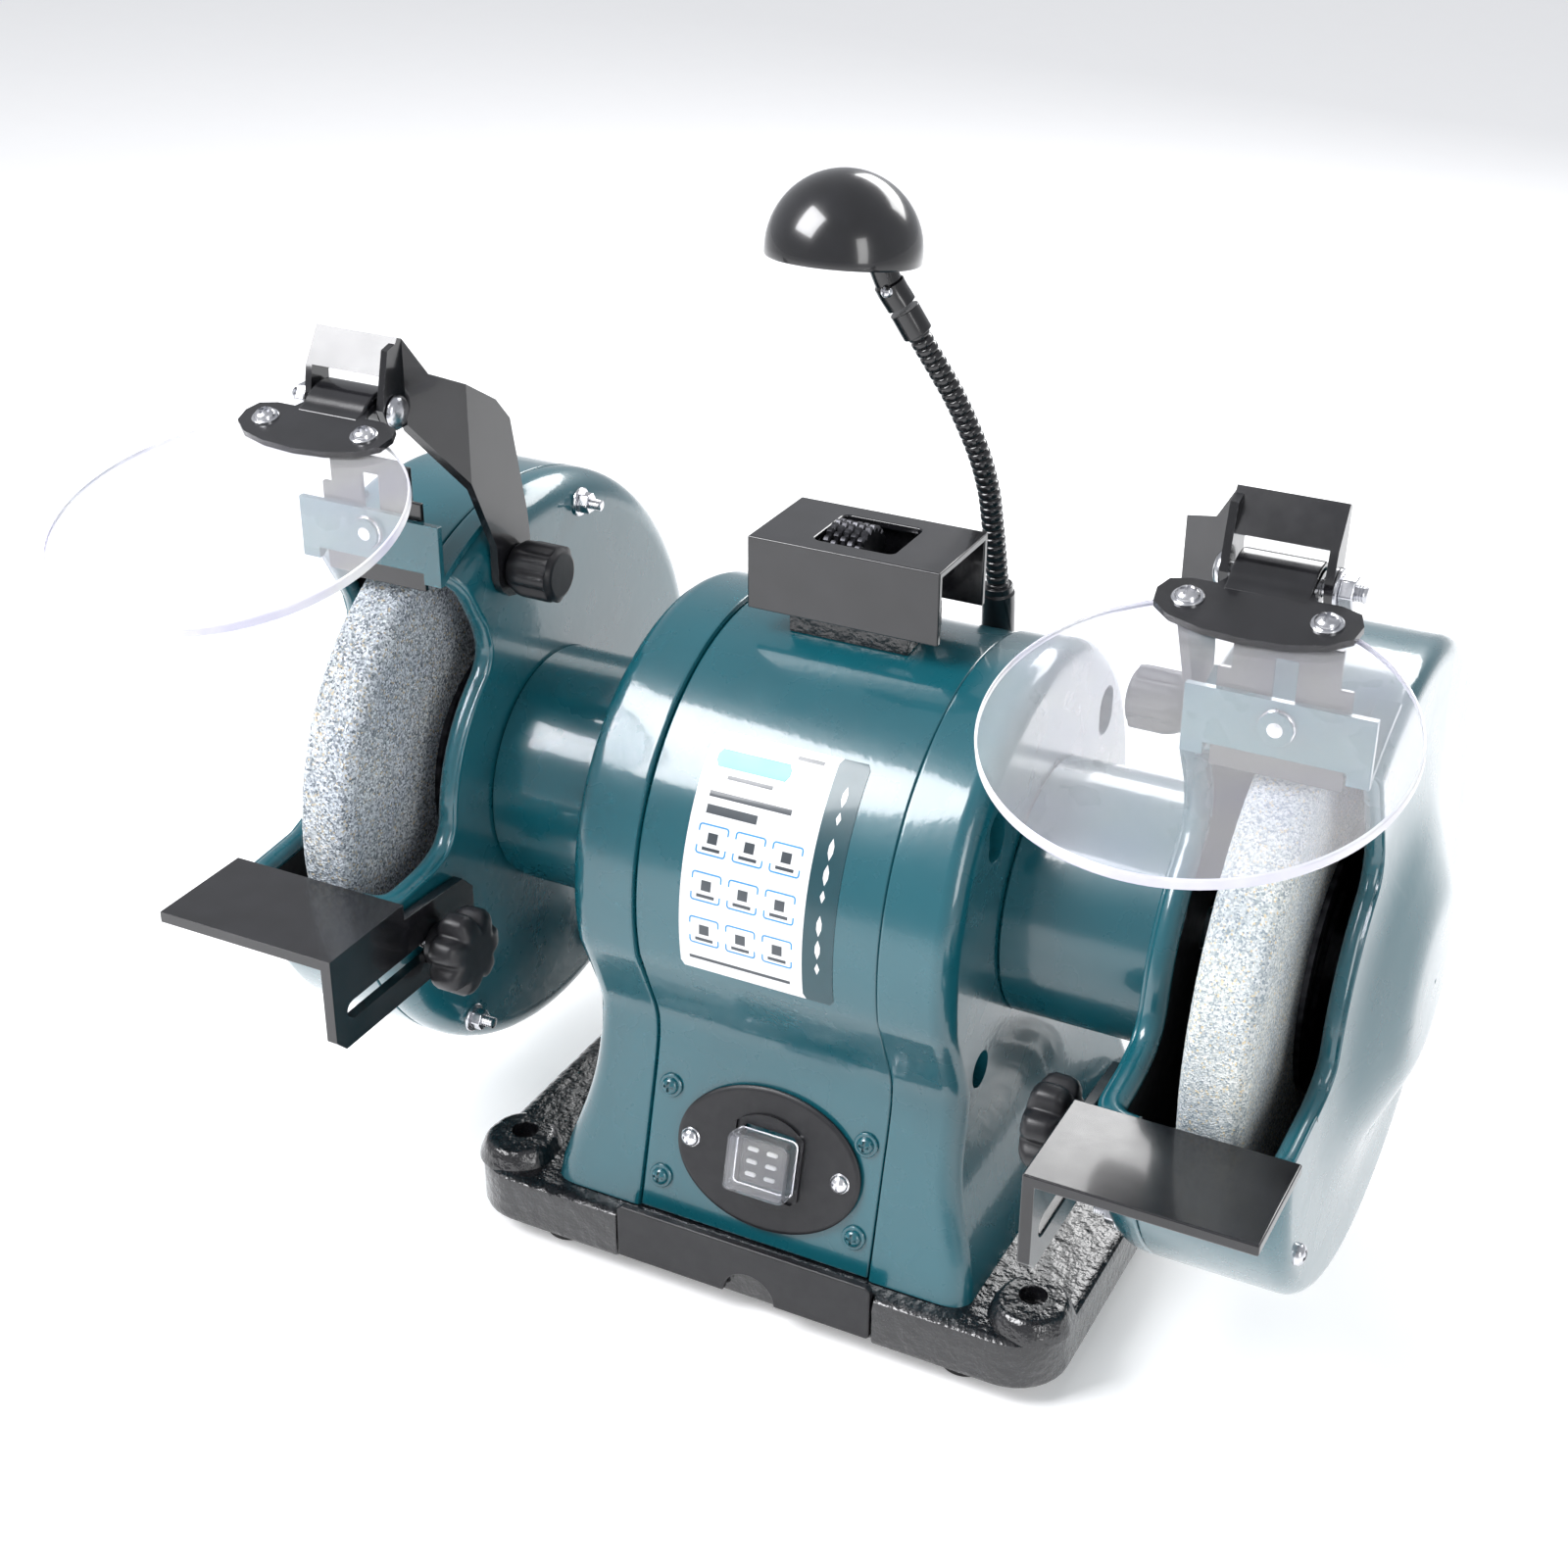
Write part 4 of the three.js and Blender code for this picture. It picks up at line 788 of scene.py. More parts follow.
def wheel_flanges(side_name):
    """Turned flanges, with a recessed ring and a rolled rim."""
    for which in ("inner", "outer"):
        node = side_name + "_" + which + "_flange"
        lo, hi = cad("right_" + which + "_flange")
        near, far = (hi.x, lo.x) if which == "inner" else (lo.x, hi.x)
        s = 1 if far > near else -1
        r = hi.z - AXIS_Z
        profile = [(8.4, near), (r, near), (r, near + 1.8 * s), (r - 0.9, near + 2.6 * s),
                   (r - 3.4, near + 2.7 * s), (r - 4.0, near + 2.1 * s), (r - 8.5, near + 2.3 * s),
                   (r - 9.4, near + 3.6 * s), (24, far - 0.5 * s), (20, far), (8.4, far), (8.4, near)]
        piece = turned(side_name + "_" + which + "_disc", profile, DARK_STEEL, at=(0, 0, AXIS_Z),
                       side=SIDES[side_name], segments=96, sharp=25)
        place(piece, "spindle", "dark_steel", node)


def spindle_nut(side_name):
    lo, hi = cad("right_spindle_nut")
    outline = [(15 * math.cos(TAU * i / 6), AXIS_Z + 15 * math.sin(TAU * i / 6)) for i in range(6)]
    nut = prism(side_name + "_arbor_nut", outline, lo.x, hi.x, "x", ZINC, SIDES[side_name], 20)
    bore = turned("bore", [(8.3, lo.x - 2), (8.3, hi.x + 2)], ZINC, at=(0, 0, AXIS_Z),
                  side=SIDES[side_name], segments=40)
    carve(nut, bore)
    bevel(nut, 0.7, 3, 25)
    return place(nut, "spindle", "bright_steel", side_name + "_spindle_nut")


# ---- pieces made from the frame's own solids -------------------------------------------------
def refined(node, material, body, slot, width=0.5, segments=3, sharp=35):
    """The node's solid welded, freed of its triangulation, and given rounded edges."""
    bm = bmesh.new()
    bm.from_mesh(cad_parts[node].data)
    bmesh.ops.remove_doubles(bm, verts=bm.verts, dist=2e-6)
    bmesh.ops.dissolve_limit(bm, angle_limit=math.radians(1.5), verts=bm.verts, edges=bm.edges)
    bmesh.ops.recalc_face_normals(bm, faces=bm.faces)
    piece = finish_bmesh(bm, node + "_finished", material, sharp)
    if width:
        bevel(piece, width, segments, 28)
    return place(piece, body, slot, node)


def to_place(piece, at, out, up=(0, 0, 1)):
    """Moves a piece built round +Z at the origin so that +Z points along out, at a millimetre point."""
    z = Vector(out).normalized()
    x = Vector(up).cross(z)
    if x.length < 1e-4:
        x = Vector((1, 0, 0))
    x.normalize()
    y = z.cross(x)
    turn = Matrix((x, y, z)).transposed().to_4x4()
    piece.data.transform(Matrix.Translation(Vector(at) * MM) @ turn)
    return piece


# ---- fasteners -------------------------------------------------------------------------------
def pan_screw(name, at, out, r, body, slot, material, washer=0.0):
    """Domed head with a cross recess, over an optional washer."""
    dome = [(r * math.cos(math.radians(a)), 0.9 + 0.62 * r * math.sin(math.radians(a)))
            for a in range(0, 90, 15)] + [(0.02, 0.9 + 0.62 * r)]
    head = turned(name, [(0.02, 0.0), (r, 0.0)] + dome, material, "z", segments=32)
    cross = []
    for w, l in ((0.17 * r, 0.62 * r), (0.62 * r, 0.17 * r)):
        cross.append(block("recess", (-w, -l, 0.9 + 0.25 * r), (w, l, 3 * r), material))
    carve(head, *cross)
    to_place(head, at, out)
    place(head, body, slot)
    if washer:
        ring = turned(name + "_washer", [(r * 0.6, -0.05), (washer, -0.05), (washer, 0.55),
                                         (washer - 0.3, 0.85), (r * 0.6, 0.85),
                                         (r * 0.6, -0.05)], material, "z", segments=40)
        to_place(ring, at, out)
        place(ring, body, slot)
    return head


def hex_nut(name, at, out, across, thick, body, material=None, stud=0.0):
    """Nut with chamfered corners, its washer, and the thread end standing out of it."""
    material = material or ZINC
    r = across / 2 / math.cos(math.pi / 6)
    outline = [(r * math.cos(TAU * i / 6), r * math.sin(TAU * i / 6)) for i in range(6)]
    nut = prism(name, outline, 0.9, 0.9 + thick, "z", material, sharp=20)
    bevel(nut, 0.45, 2, 30)
    washer = turned(name + "_washer", [(0.02, 0), (r + 1.3, 0), (r + 1.3, 0.6), (r + 1.0, 0.9),
                                       (0.02, 0.9)], material, "z", segments=40)
    parts = [nut, washer]
    if stud:
        profile = [(0.02, 0.5)]
        top = 0.9 + thick + stud
        core, crest = across * 0.24, across * 0.29
        n = int((top - 0.5) / 0.8)
        for i in range(n):
            z = 0.6 + i * 0.8
            profile += [(core, z), (crest, z + 0.4)]
        profile += [(core, top - 0.2), (core - 0.5, top), (0.02, top)]
        parts.append(turned(name + "_thread", profile, material, "z", segments=24, sharp=70))
    for piece in parts:
        to_place(piece, at, out)
        place(piece, body, "bright_steel")
    return nut


def guard_fasteners(side_name):
    """Nuts on the inboard flange and a pan screw on the cover."""
    s = SIDES[side_name]
    for i, (y, z) in enumerate(((23.4, 96.2), (-64, -78))):
        hex_nut("%s_guard_nut_%d" % (side_name, i), (s * (casting_lo.x - 0.1), y, AXIS_Z + z),
                (-s, 0, 0), 7, 4, "frame", stud=4.5)
    pan_screw(side_name + "_cover_screw", (s * (cover_hi.x - 15.1), -84, AXIS_Z - 56), (s, 0, 0),
              3.6, "frame", "bright_steel", ZINC)


# ---- switch ----------------------------------------------------------------------------------
SLOPE = math.radians(14.15)  # the front of the pedestal leans back by this much
bezel_lo, bezel_hi = cad("switch_bezel")
FRONT_OUT = Vector((0, -math.cos(SLOPE), math.sin(SLOPE)))
FRONT_UP = Vector((0, math.sin(SLOPE), math.cos(SLOPE)))
SWITCH_AT = (bezel_lo + bezel_hi) / 2 - FRONT_OUT * 2.05
FRONT_SCREW_X, FRONT_SCREW_Z = 38.1, (75.4, 41.6)


def on_front(piece):
    return to_place(piece, SWITCH_AT, FRONT_OUT)


def front_point(x, z):
    """A point of the sloping front at an absolute x and z."""
    v = (z - SWITCH_AT.z) / math.cos(SLOPE)
    return Vector((x, SWITCH_AT.y, SWITCH_AT.z)) + FRONT_UP * v


def oval(a, b, n=96):
    return [(a * math.cos(TAU * i / n), b * math.sin(TAU * i / n)) for i in range(n)]


def switch_plate():
    a, b = 35.5, 26.3
    rings = []
    for inset, h in ((0.3, 0.3), (0, 0.8), (0, 1.6), (0.5, 2.2), (1.8, 2.5)):
        rings.append([(u, v, h) for u, v in oval(a - inset, b - inset)])
    plate = mesh_piece("switch_plate", *loft(rings), PLASTIC, sharp=50)
    window = prism("window", rounded_rect(-10, 10, -11.5, 11.5, 1.5), -1, 8, "z", PLASTIC)
    carve(plate, window)
    bevel(plate, 0.25, 2, 40)
    on_front(plate)
    place(plate, "frame", "black_plastic", "switch_bezel")
    # A raised frame round the window, with arched lips above and below.
    outer = ([(13.6, -11.4), (13.6, 11.4)] + arc(0, -1.5, 18.6, 44, 136, 14)
             + [(-13.6, 11.4), (-13.6, -11.4)] + arc(0, 1.5, 18.6, 224, 316, 14))
    lip = prism("switch_frame", outer, 2.3, 3.7, "z", PLASTIC, sharp=30)
    carve(lip, prism("window", rounded_rect(-12.6, 12.6, -13.2, 13.2, 1.5), 0, 8, "z", PLASTIC))
    bevel(lip, 0.35, 2, 40)
    on_front(lip)
    place(lip, "frame", "black_plastic")
    for name, u in (("left", -30.2), ("right", 28.2)):
        at = SWITCH_AT + Vector((u, 0, 0)) + FRONT_OUT * 2.0
        pan_screw("switch_screw_" + name, at, FRONT_OUT, 3.3, "frame", "bright_steel", ZINC, 3.7)


def switch_rocker():
    """Rocker with a dished face and six raised bars in two columns."""
    rings = []
    for h, inset in ((1.5, 0.4), (3.4, 0.1), (5.0, 0.0), (5.7, 0.5), (6.0, 1.3)):
        rings.append([(u, v, h + 0.0035 * v * v - 0.3)
                      for u, v in rounded_rect(-8.4 + inset, 8.4 - inset, -8.4 + inset,
                                               8.4 - inset, 1.2, 4)])
    rocker = mesh_piece("rocker_cap", *loft(rings), PLASTIC, sharp=50)
    on_front(rocker)
    place(rocker, "rocker", "black_plastic", "switch_rocker")
    for i, (u, v) in enumerate((u, v) for v in (-4.7, 0, 4.7) for u in (-3.7, 3.7)):
        bar = prism("rocker_bar_%d" % i, rounded_rect(u - 2.1, u + 2.1, v - 0.75, v + 0.75, 0.7, 5),
                    5.2, 6.7, "z", REFLECTOR, sharp=40)
        bevel(bar, 0.3, 2, 40)
        on_front(bar)
        place(bar, "rocker", "black_plastic")


def switch_hood():
    """Clear box over the rocker."""
    rings = []
    for inset, h in ((0, 4.1), (0, 10.4), (0.5, 11.6), (1.5, 12.1)):
        rings.append([(u, v, h) for u, v in rounded_rect(-12 + inset, 12 - inset, -11 + inset,
                                                          11 - inset, 2.4 - inset, 5)])
    hood = mesh_piece("switch_hood", *loft(rings), BOX_CLEAR, sharp=50)
    inside = prism("inside", rounded_rect(-10.8, 10.8, -9.8, 9.8, 1.6, 4), 2, 10.9, "z", BOX_CLEAR)
    carve(hood, inside)
    on_front(hood)
    place(hood, "frame", "clear_plastic", "switch_cover")


def front_screws():
    """Painted screws with washers at the corners of the front cover plate."""
    corners = [(x, z) for z in FRONT_SCREW_Z for x in (-FRONT_SCREW_X, FRONT_SCREW_X)]
    for i, (x, z) in enumerate(corners):
        pan_screw("front_screw_%d" % i, front_point(x, z) + FRONT_OUT * 0.1, FRONT_OUT, 3.2,
                  "frame", "teal_paint", TEAL, 4.4)


# ---- label -----------------------------------------------------------------------------------
LABEL_R = STATOR_R + 0.12
LABEL_X = (-28.0, 29.0)
LABEL_TOP = math.radians(48)
LABEL_LOW = math.radians(-11)


def on_barrel(name, x0, x1, s0, s1, lift, material, hole=0.0):
    """A rounded patch on the barrel. s runs down from the label's top edge in millimetres."""
    corner = min(1.2, (x1 - x0) / 2.1, (s1 - s0) / 2.1)
    outline = rounded_rect(x0, x1, s0, s1, corner, 4)
    inner = rounded_rect(x0 + hole, x1 - hole, s0 + hole, s1 - hole, max(0.2, corner - hole), 4)
    bm = bmesh.new()

    def wrapped(x, s):
        a = LABEL_TOP - s / STATOR_R
        r = LABEL_R + lift
        return bm.verts.new((x * MM, -r * math.cos(a) * MM, (AXIS_Z + r * math.sin(a)) * MM))

    if hole:
        a = [wrapped(x, s) for x, s in outline]
        b = [wrapped(x, s) for x, s in inner]
        for i in range(len(a)):
            j = (i + 1) % len(a)
            bm.faces.new((a[i], a[j], b[j], b[i]))
    else:
        rows = max(1, int((s1 - s0) / 2))
        lines = []
        for k in range(rows + 1):
            s = s0 + (s1 - s0) * k / rows
            inset = 0.0
            for edge, way in ((s0 + corner, -1), (s1 - corner, 1)):
                over = (s - edge) * way
                if over > 0:
                    inset = corner - math.sqrt(max(0.0, corner * corner - over * over))
            lines.append((wrapped(x0 + inset, s), wrapped(x1 - inset, s)))
        for (a, b), (c, d) in zip(lines, lines[1:]):
            bm.faces.new((a, b, d, c))
    for face in bm.faces:
        face.normal_update()
        if face.normal.dot(face.calc_center_median() - Vector((0, 0, AXIS_Z * MM))) < 0:
            face.normal_flip()
    piece = finish_bmesh(bm, name, material)
    wall = piece.modifiers.new("sheet", "SOLIDIFY")
    wall.thickness = 0.1 * MM
    wall.offset = -1
    return place(piece, "frame", "teal_paint")


def printed(name, colour, rough=0.32):
    mat = new_material(name, colour, rough, coat=0.4)
    tone = ramp(mat, noise(mat, 300, 3), tuple(c * 0.93 for c in colour), colour)
    worn = to_range(mat, noise(mat, 120, 4), rough - 0.08, rough + 0.1)
    return wire(mat, Base_Color=tone, Roughness=worn, Normal=bump(mat, noise(mat, 90, 2), 0.02, 0.2))


def label():
    """White sticker with a dark band; bars and empty boxes stand where print would be."""
    white = printed("sticker_white", (0.80, 0.81, 0.82))
    band = printed("sticker_band", (0.006, 0.05, 0.065))
    ink = printed("sticker_ink", (0.05, 0.06, 0.07))
    blue = printed("sticker_blue", (0.03, 0.28, 0.62))
    x0, x1 = LABEL_X
    height = (LABEL_TOP - LABEL_LOW) * STATOR_R
    split = x1 - 0.195 * (x1 - x0)
    on_barrel("sticker", x0, x1, 0, height, 0, white)
    on_barrel("sticker_side_band", split, x1, 0, height, 0.06, band)
    on_barrel("sticker_title", x0 + 4, x0 + 31, 6.0, 12.2, 0.06, blue)
    on_barrel("sticker_subtitle", x0 + 9, x0 + 27, 14.4, 15.8, 0.06, ink)
    on_barrel("sticker_code", split - 15, split - 4, 2.6, 4.0, 0.06, ink)
    on_barrel("sticker_line_a", x0 + 4, x0 + 36, 20.4, 22.4, 0.06, ink)
    on_barrel("sticker_line_b", x0 + 4, x0 + 25, 25.0, 28.0, 0.06, ink)
    on_barrel("sticker_foot", x0 + 3, split - 4, height - 5.6, height - 4.4, 0.06, ink)
    pitch_x, pitch_s = 13.6, 16.2
    for row in range(3):
        for col in range(3):
            cx = x0 + 9.5 + col * pitch_x
            cs = 36.6 + row * pitch_s
            tag = "%d%d" % (row, col)
            on_barrel("sticker_box_" + tag, cx - 5.6, cx + 5.6, cs - 5.2, cs + 5.2, 0.06, blue, 0.55)
            on_barrel("sticker_mark_" + tag, cx - 3.0, cx + 3.0, cs - 2.4, cs + 1.2, 0.1, ink)
            on_barrel("sticker_bar_" + tag, cx - 3.8, cx + 3.8, cs + 2.6, cs + 3.7, 0.1, ink)
    for i in range(8):
        s = 9 + i * 8.6
        mid = (split + x1) / 2
        on_barrel("sticker_dash_%d" % i, mid - 0.9, mid + 0.9, s, s + (6.9, 4.2, 7.2)[i % 3], 0.1, white)


# ---- knobs and rests -------------------------------------------------------------------------
def lobed(name, at, levels, r, depth, lobes, power, material, side):
    """Turned knob along X with lobes; levels are (x, share of r, share of the lobe depth)."""
    n = lobes * 16
    rings = []
    for x, share, deep in levels:
        ring = []
        for i in range(n):
            a = TAU * i / n
            wave = (0.5 - 0.5 * math.cos(lobes * a)) ** power
            rr = r * share - depth * deep * wave
            ring.append((x, at[0] + rr * math.cos(a), at[1] + rr * math.sin(a)))
        rings.append(ring)
    return mesh_piece(name, *loft(rings), material, side, 55)


def rest_knob(side_name):
    """Seven-lobed clamping knob with its hub and threaded stud."""
    lo, hi = cad("right_rest_knob")
    mid = (lo + hi) / 2
    star0, star1 = lo.x, lo.x + 14
    at = (mid.y, mid.z)
    levels = [(star0, 0.45, 0.0), (star0 + 0.4, 0.66, 0.35), (star0 + 1.2, 0.82, 0.7),
              (star0 + 2.6, 0.94, 0.95), (star0 + 4.5, 1.0, 1.0), (star1 - 4.5, 1.0, 1.0),
              (star1 - 2.4, 0.95, 0.95), (star1 - 0.9, 0.84, 0.7), (star1, 0.62, 0.2)]
    side = SIDES[side_name]
    knob = lobed(side_name + "_star_knob", at, levels, 16, 3.6, 7, 2.2, PLASTIC, side)
    place(knob, side_name + "_rest_handle", "black_plastic", side_name + "_rest_knob")
    hub = turned(side_name + "_star_hub", [(0.05, star1 - 2), (8.8, star1 - 2), (8.4, star1 + 1),
                                           (7.8, rest_lo.x - 1), (7.2, rest_lo.x - 0.4),
                                           (0.05, rest_lo.x - 0.4)], PLASTIC,
                 at=(0, at[0], at[1]), side=side, segments=48)
    place(hub, side_name + "_rest_handle", "black_plastic")
    thread_rod(side_name + "_rest_stud", at, rest_lo.x - 1.5, casting_lo.x + 11, 3.0, side,
               side_name + "_rest_handle")


def thread_rod(name, at, x0, x1, r, side, body):
    profile = [(0.05, x0)]
    n = int((x1 - x0 - 1) / 1.0)
    for i in range(n):
        profile += [(r - 0.45, x0 + 0.2 + i), (r, x0 + 0.7 + i)]
    profile += [(r - 0.6, x1 - 0.3), (r - 1, x1), (0.05, x1)]
    rod = turned(name, profile, ZINC, at=(0, at[0], at[1]), side=side, segments=28, sharp=70)
    return place(rod, body, "bright_steel")


def arm_knob(side_name):
    """Fluted knob with a plain disc on its end."""
    lo, hi = cad("right_arm_knob")
    mid = (lo + hi) / 2
    at = (mid.y, mid.z)
    end = lo.x + 17
    levels = [(lo.x, 0.70, 0.0), (lo.x + 0.5, 0.80, 0.0), (lo.x + 1.3, 0.88, 0.1),
              (lo.x + 1.7, 0.99, 0.5), (lo.x + 3.0, 1.0, 1.0), (end - 4.5, 1.0, 1.0),
              (end - 2.2, 0.96, 0.7), (end, 0.84, 0.1), (end + 1.6, 0.74, 0.0)]
    side = SIDES[side_name]
    knob = lobed(side_name + "_fluted_knob", at, levels, 10.5, 1.7, 8, 1.6, PLASTIC, side)
    place(knob, side_name + "_arm_handle", "black_plastic", side_name + "_arm_knob")
    thread_rod(side_name + "_arm_stud", at, end, casting_lo.x + 10, 3.0, side,
               side_name + "_arm_handle")
    cap = turned(side_name + "_knob_cap", [(0.05, lo.x + 0.02), (5.6, lo.x + 0.02), (5.9, lo.x + 0.3),
                                           (5.9, lo.x + 1), (0.05, lo.x + 1)], PLASTIC,
                 at=(0, at[0], at[1]), side=side, segments=40)
    place(cap, side_name + "_arm_handle", "black_plastic")


# ---- shields ---------------------------------------------------------------------------------
SHIELD_TILT = math.radians(14)
SHIELD_FORWARD = Vector((0, -math.cos(SHIELD_TILT), -math.sin(SHIELD_TILT)))
SHIELD_OUT = Vector((0, -math.sin(SHIELD_TILT), math.cos(SHIELD_TILT)))


def shield_point(side_name, across, along, lift):
    """A point on a shield: across from its middle, along from the hinge, lift above the mid plane."""
    mid = Vector((SIDES[side_name] * (shield_lo.x + shield_hi.x) / 2, HINGE.y, HINGE.z))
    return mid + Vector((across, 0, 0)) + SHIELD_FORWARD * along + SHIELD_OUT * lift


def eye_shield(side_name):
    """Clear disc with polished faces and a softly rounded, tinted edge."""
    r, t = (shield_hi.x - shield_lo.x) / 2, 3.6
    profile = [(0.02, -t / 2), (r - 0.7, -t / 2), (r - 0.2, -t / 2 + 0.25), (r, -t / 2 + 0.7),
               (r, t / 2 - 0.7), (r - 0.2, t / 2 - 0.25), (r - 0.7, t / 2), (0.02, t / 2)]
    disc = turned(side_name + "_shield_disc", profile, CLEAR, "z", segments=144, sharp=15)
    disc.data.materials.append(EDGE)
    for face in disc.data.polygons:
        if face.center.xy.length > (r - 0.75) * MM:
            face.material_index = 1
    to_place(disc, shield_point(side_name, 0, 71, 0), SHIELD_OUT)
    place(disc, side_name + "_shield", "clear_plastic", side_name + "_eye_shield")


def clamp_saddle(side_name):
    """The strap of a clamp where it rises from the bow and rolls over the hinge."""
    upper = spline([(15, 4.9), (11.5, 5.3), (8, 6.8), (4, 7.6), (0, 7.4), (-4, 6.0), (-6.6, 2.4),
                    (-7.0, -1.5)], 5)
    lower = spline([(-5.4, -1.5), (-5.0, 1.8), (-3.2, 4.4), (0, 5.7), (3.6, 5.9), (7.4, 5.0),
                    (11, 3.4), (15, 3.0)], 5)
    outline = [tuple(p) for p in upper] + [tuple(p) for p in lower]
    rings = []
    for across in (-11.8, -4, 4, 11.8):
        rings.append([tuple(shield_point(side_name, across, u, v)) for u, v in outline])
    strap = mesh_piece(side_name + "_clamp_saddle", *loft(rings), SATIN, sharp=40)
    bevel(strap, 0.5, 3, 50)
    place(strap, side_name + "_shield", "satin_black")


def shield_screws(side_name):
    for i, across in enumerate((-19.5, 19.5)):
        at = shield_point(side_name, across, 22, 4.7)
        pan_screw("%s_shield_screw_%d" % (side_name, i), at, SHIELD_OUT, 3.6,
                  side_name + "_shield", "bright_steel", ZINC, 4.6)


def hinge_hardware(side_name):
    s = SIDES[side_name]
    lo, hi = hinge_lo, hinge_hi
    dome = [(5.6 * math.cos(math.radians(a)), lo.x + 2.6 - 2.6 * math.sin(math.radians(a)))
            for a in range(90, -1, -15)]
    dome[0] = (0.05, lo.x)
    outline = dome + [(5.6, 140.6), (2.5, 140.6), (2.5, hi.x - 9), (0.05, hi.x - 9)]
    bolt = turned(side_name + "_hinge_screw", outline, ZINC, at=(0, HINGE.y, HINGE.z), side=s,
                  segments=40)
    place(bolt, side_name + "_shield_mount", "bright_steel", side_name + "_hinge_bolt")
    hex_nut(side_name + "_hinge_nut", (s * 173.2, HINGE.y, HINGE.z), (s, 0, 0), 8.6, 4.2,
            side_name + "_shield_mount", stud=3.2)


def spark_bolt(side_name):
    lo, hi = cad("right_spark_bridge")
    at = (SIDES[side_name] * (lo.x + hi.x) / 2, -61.1, AXIS_Z + 107)
    r = 5.9
    dome = [(r * math.cos(math.radians(a)), 0.4 + 2.3 * math.sin(math.radians(a)))
            for a in range(0, 90, 10)]
    head = turned(side_name + "_bridge_bolt", [(0.02, -0.4), (r, -0.4)] + dome + [(0.02, 2.7)], ZINC,
                  "z", segments=48)
    to_place(head, at, (0, -1, 0))
    place(head, "frame", "bright_steel")


# ---- dresser ---------------------------------------------------------------------------------
def dresser_wheels():
    """Five corrugated cutter discs with pointed teeth, side by side on the pin."""
    lo, hi = cad("dresser_cutters")
    c = (lo + hi) / 2
    r = hi.z - c.z
    discs = 5
    width = (hi.x - lo.x) / discs
    teeth = 22
    for i in range(discs):
        x0 = lo.x + i * width
        rings = []
        for x, share in ((x0 + 0.15, 0.4), (x0 + 0.15, 0.93), (x0 + 0.7, 1.0), (x0 + width - 0.7, 1.0),
                         (x0 + width - 0.15, 0.93), (x0 + width - 0.15, 0.4)):
            ring = []
            for k in range(teeth * 4):
                a = TAU * (k / (teeth * 4) + i * 0.37 / teeth)
                tooth = (1.0, 0.985, 0.88, 0.985)[k % 4] if share > 0.5 else 1.0
                ring.append((x, r * share * tooth * math.cos(a), c.z + r * share * tooth * math.sin(a)))
            rings.append(ring)
        disc = mesh_piece("dresser_disc_%d" % i, *loft(rings), DARK_STEEL, sharp=30)
        place(disc, "dresser_roll", "dark_steel", *(["dresser_cutters"] if i == 0 else []))


# ---- lamp ------------------------------------------------------------------------------------
NECK = [(29, 49, 66), (29, 47.5, 81), (28, 45.5, 97), (26.8, 44, 110), (25.6, 42, 122),
        (23, 39.5, 134), (19.2, 37, 145), (14.8, 34, 156), (10.3, 31.4, 165), (5, 28, 175.5),
        (-0.5, 25.2, 186)]
NECK_R = 4.0
_, shade_hi = cad("lamp_shade")
SHADE_AT = Vector((-18, 15, AXIS_Z + 206))
SHADE_LEAN = math.radians(8)


def swept(name, path, radius_at, material, sides=20, sharp=80, side=1):
    """A tube along a path whose radius depends on the distance from its start."""
    rings = []
    travelled = 0.0
    across = (path[1] - path[0]).orthogonal()
    for i, p in enumerate(path):
        ahead = (path[min(i + 1, len(path) - 1)] - path[max(i - 1, 0)]).normalized()
        across = (across - ahead * across.dot(ahead)).normalized()
        other = ahead.cross(across)
        if i:
            travelled += (p - path[i - 1]).length
        r = radius_at(travelled)
        rings.append([tuple(p + across * (r * math.cos(TAU * k / sides))
                            + other * (r * math.sin(TAU * k / sides))) for k in range(sides)])
    return mesh_piece(name, *loft(rings), material, side, sharp)


def even(path, step):
    """The path resampled at equal steps."""
    out = [path[0]]
    need = step
    for a, b in zip(path, path[1:]):
        length = (b - a).length
        gone = 0.0
        while length - gone >= need:
            gone += need
            out.append(a + (b - a) * (gone / length))
            need = step
        need -= length - gone
    return out + [path[-1]]


def neck_path(step):
    points = [Vector((x, y, AXIS_Z + z)) for x, y, z in NECK]
    return even(spline(points, 24), step)


def lamp_neck():
    """Ribbed flexible tube."""
    pitch = 3.0
    path = neck_path(pitch / 8)

    def rib(s):
        phase = (s / pitch) % 1.0
        return NECK_R - 0.75 * (1 - math.sin(math.pi * phase)) ** 2.2

    neck = swept("ribbed_neck", path, rib, SATIN, 24)
    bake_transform(neck)
    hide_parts("lamp_neck_upper", "lamp_neck_lower")
    collar_path = [p for p in path if p.z < AXIS_Z + 86]
    collar = swept("neck_collar", collar_path, lambda s: 6.0 if s < 17 else 5.4, SATIN, 32, 30)
    bevel(collar, 0.4, 2, 40)
    place(collar, "frame", "satin_black")
    ferrule_path = path[-26:]
    ferrule = swept("neck_ferrule", ferrule_path, lambda s: 5.2, SATIN, 32, 30)
    bevel(ferrule, 0.5, 2, 40)
    place(ferrule, "lamp_arm", "satin_black")


def shade_turned(name, profile, material, slot, node=None, at=(0, 0, 0)):
    """Turned piece on the lamp head's own leaning axis."""
    piece = turned(name, profile, material, "z", at, 96, sharp=50)
    lean = Matrix.Translation(SHADE_AT * MM) @ Matrix.Rotation(-SHADE_LEAN, 4, "X")
    piece.data.transform(lean)
    return place(piece, "lamp_head", slot, *([node] if node else []))


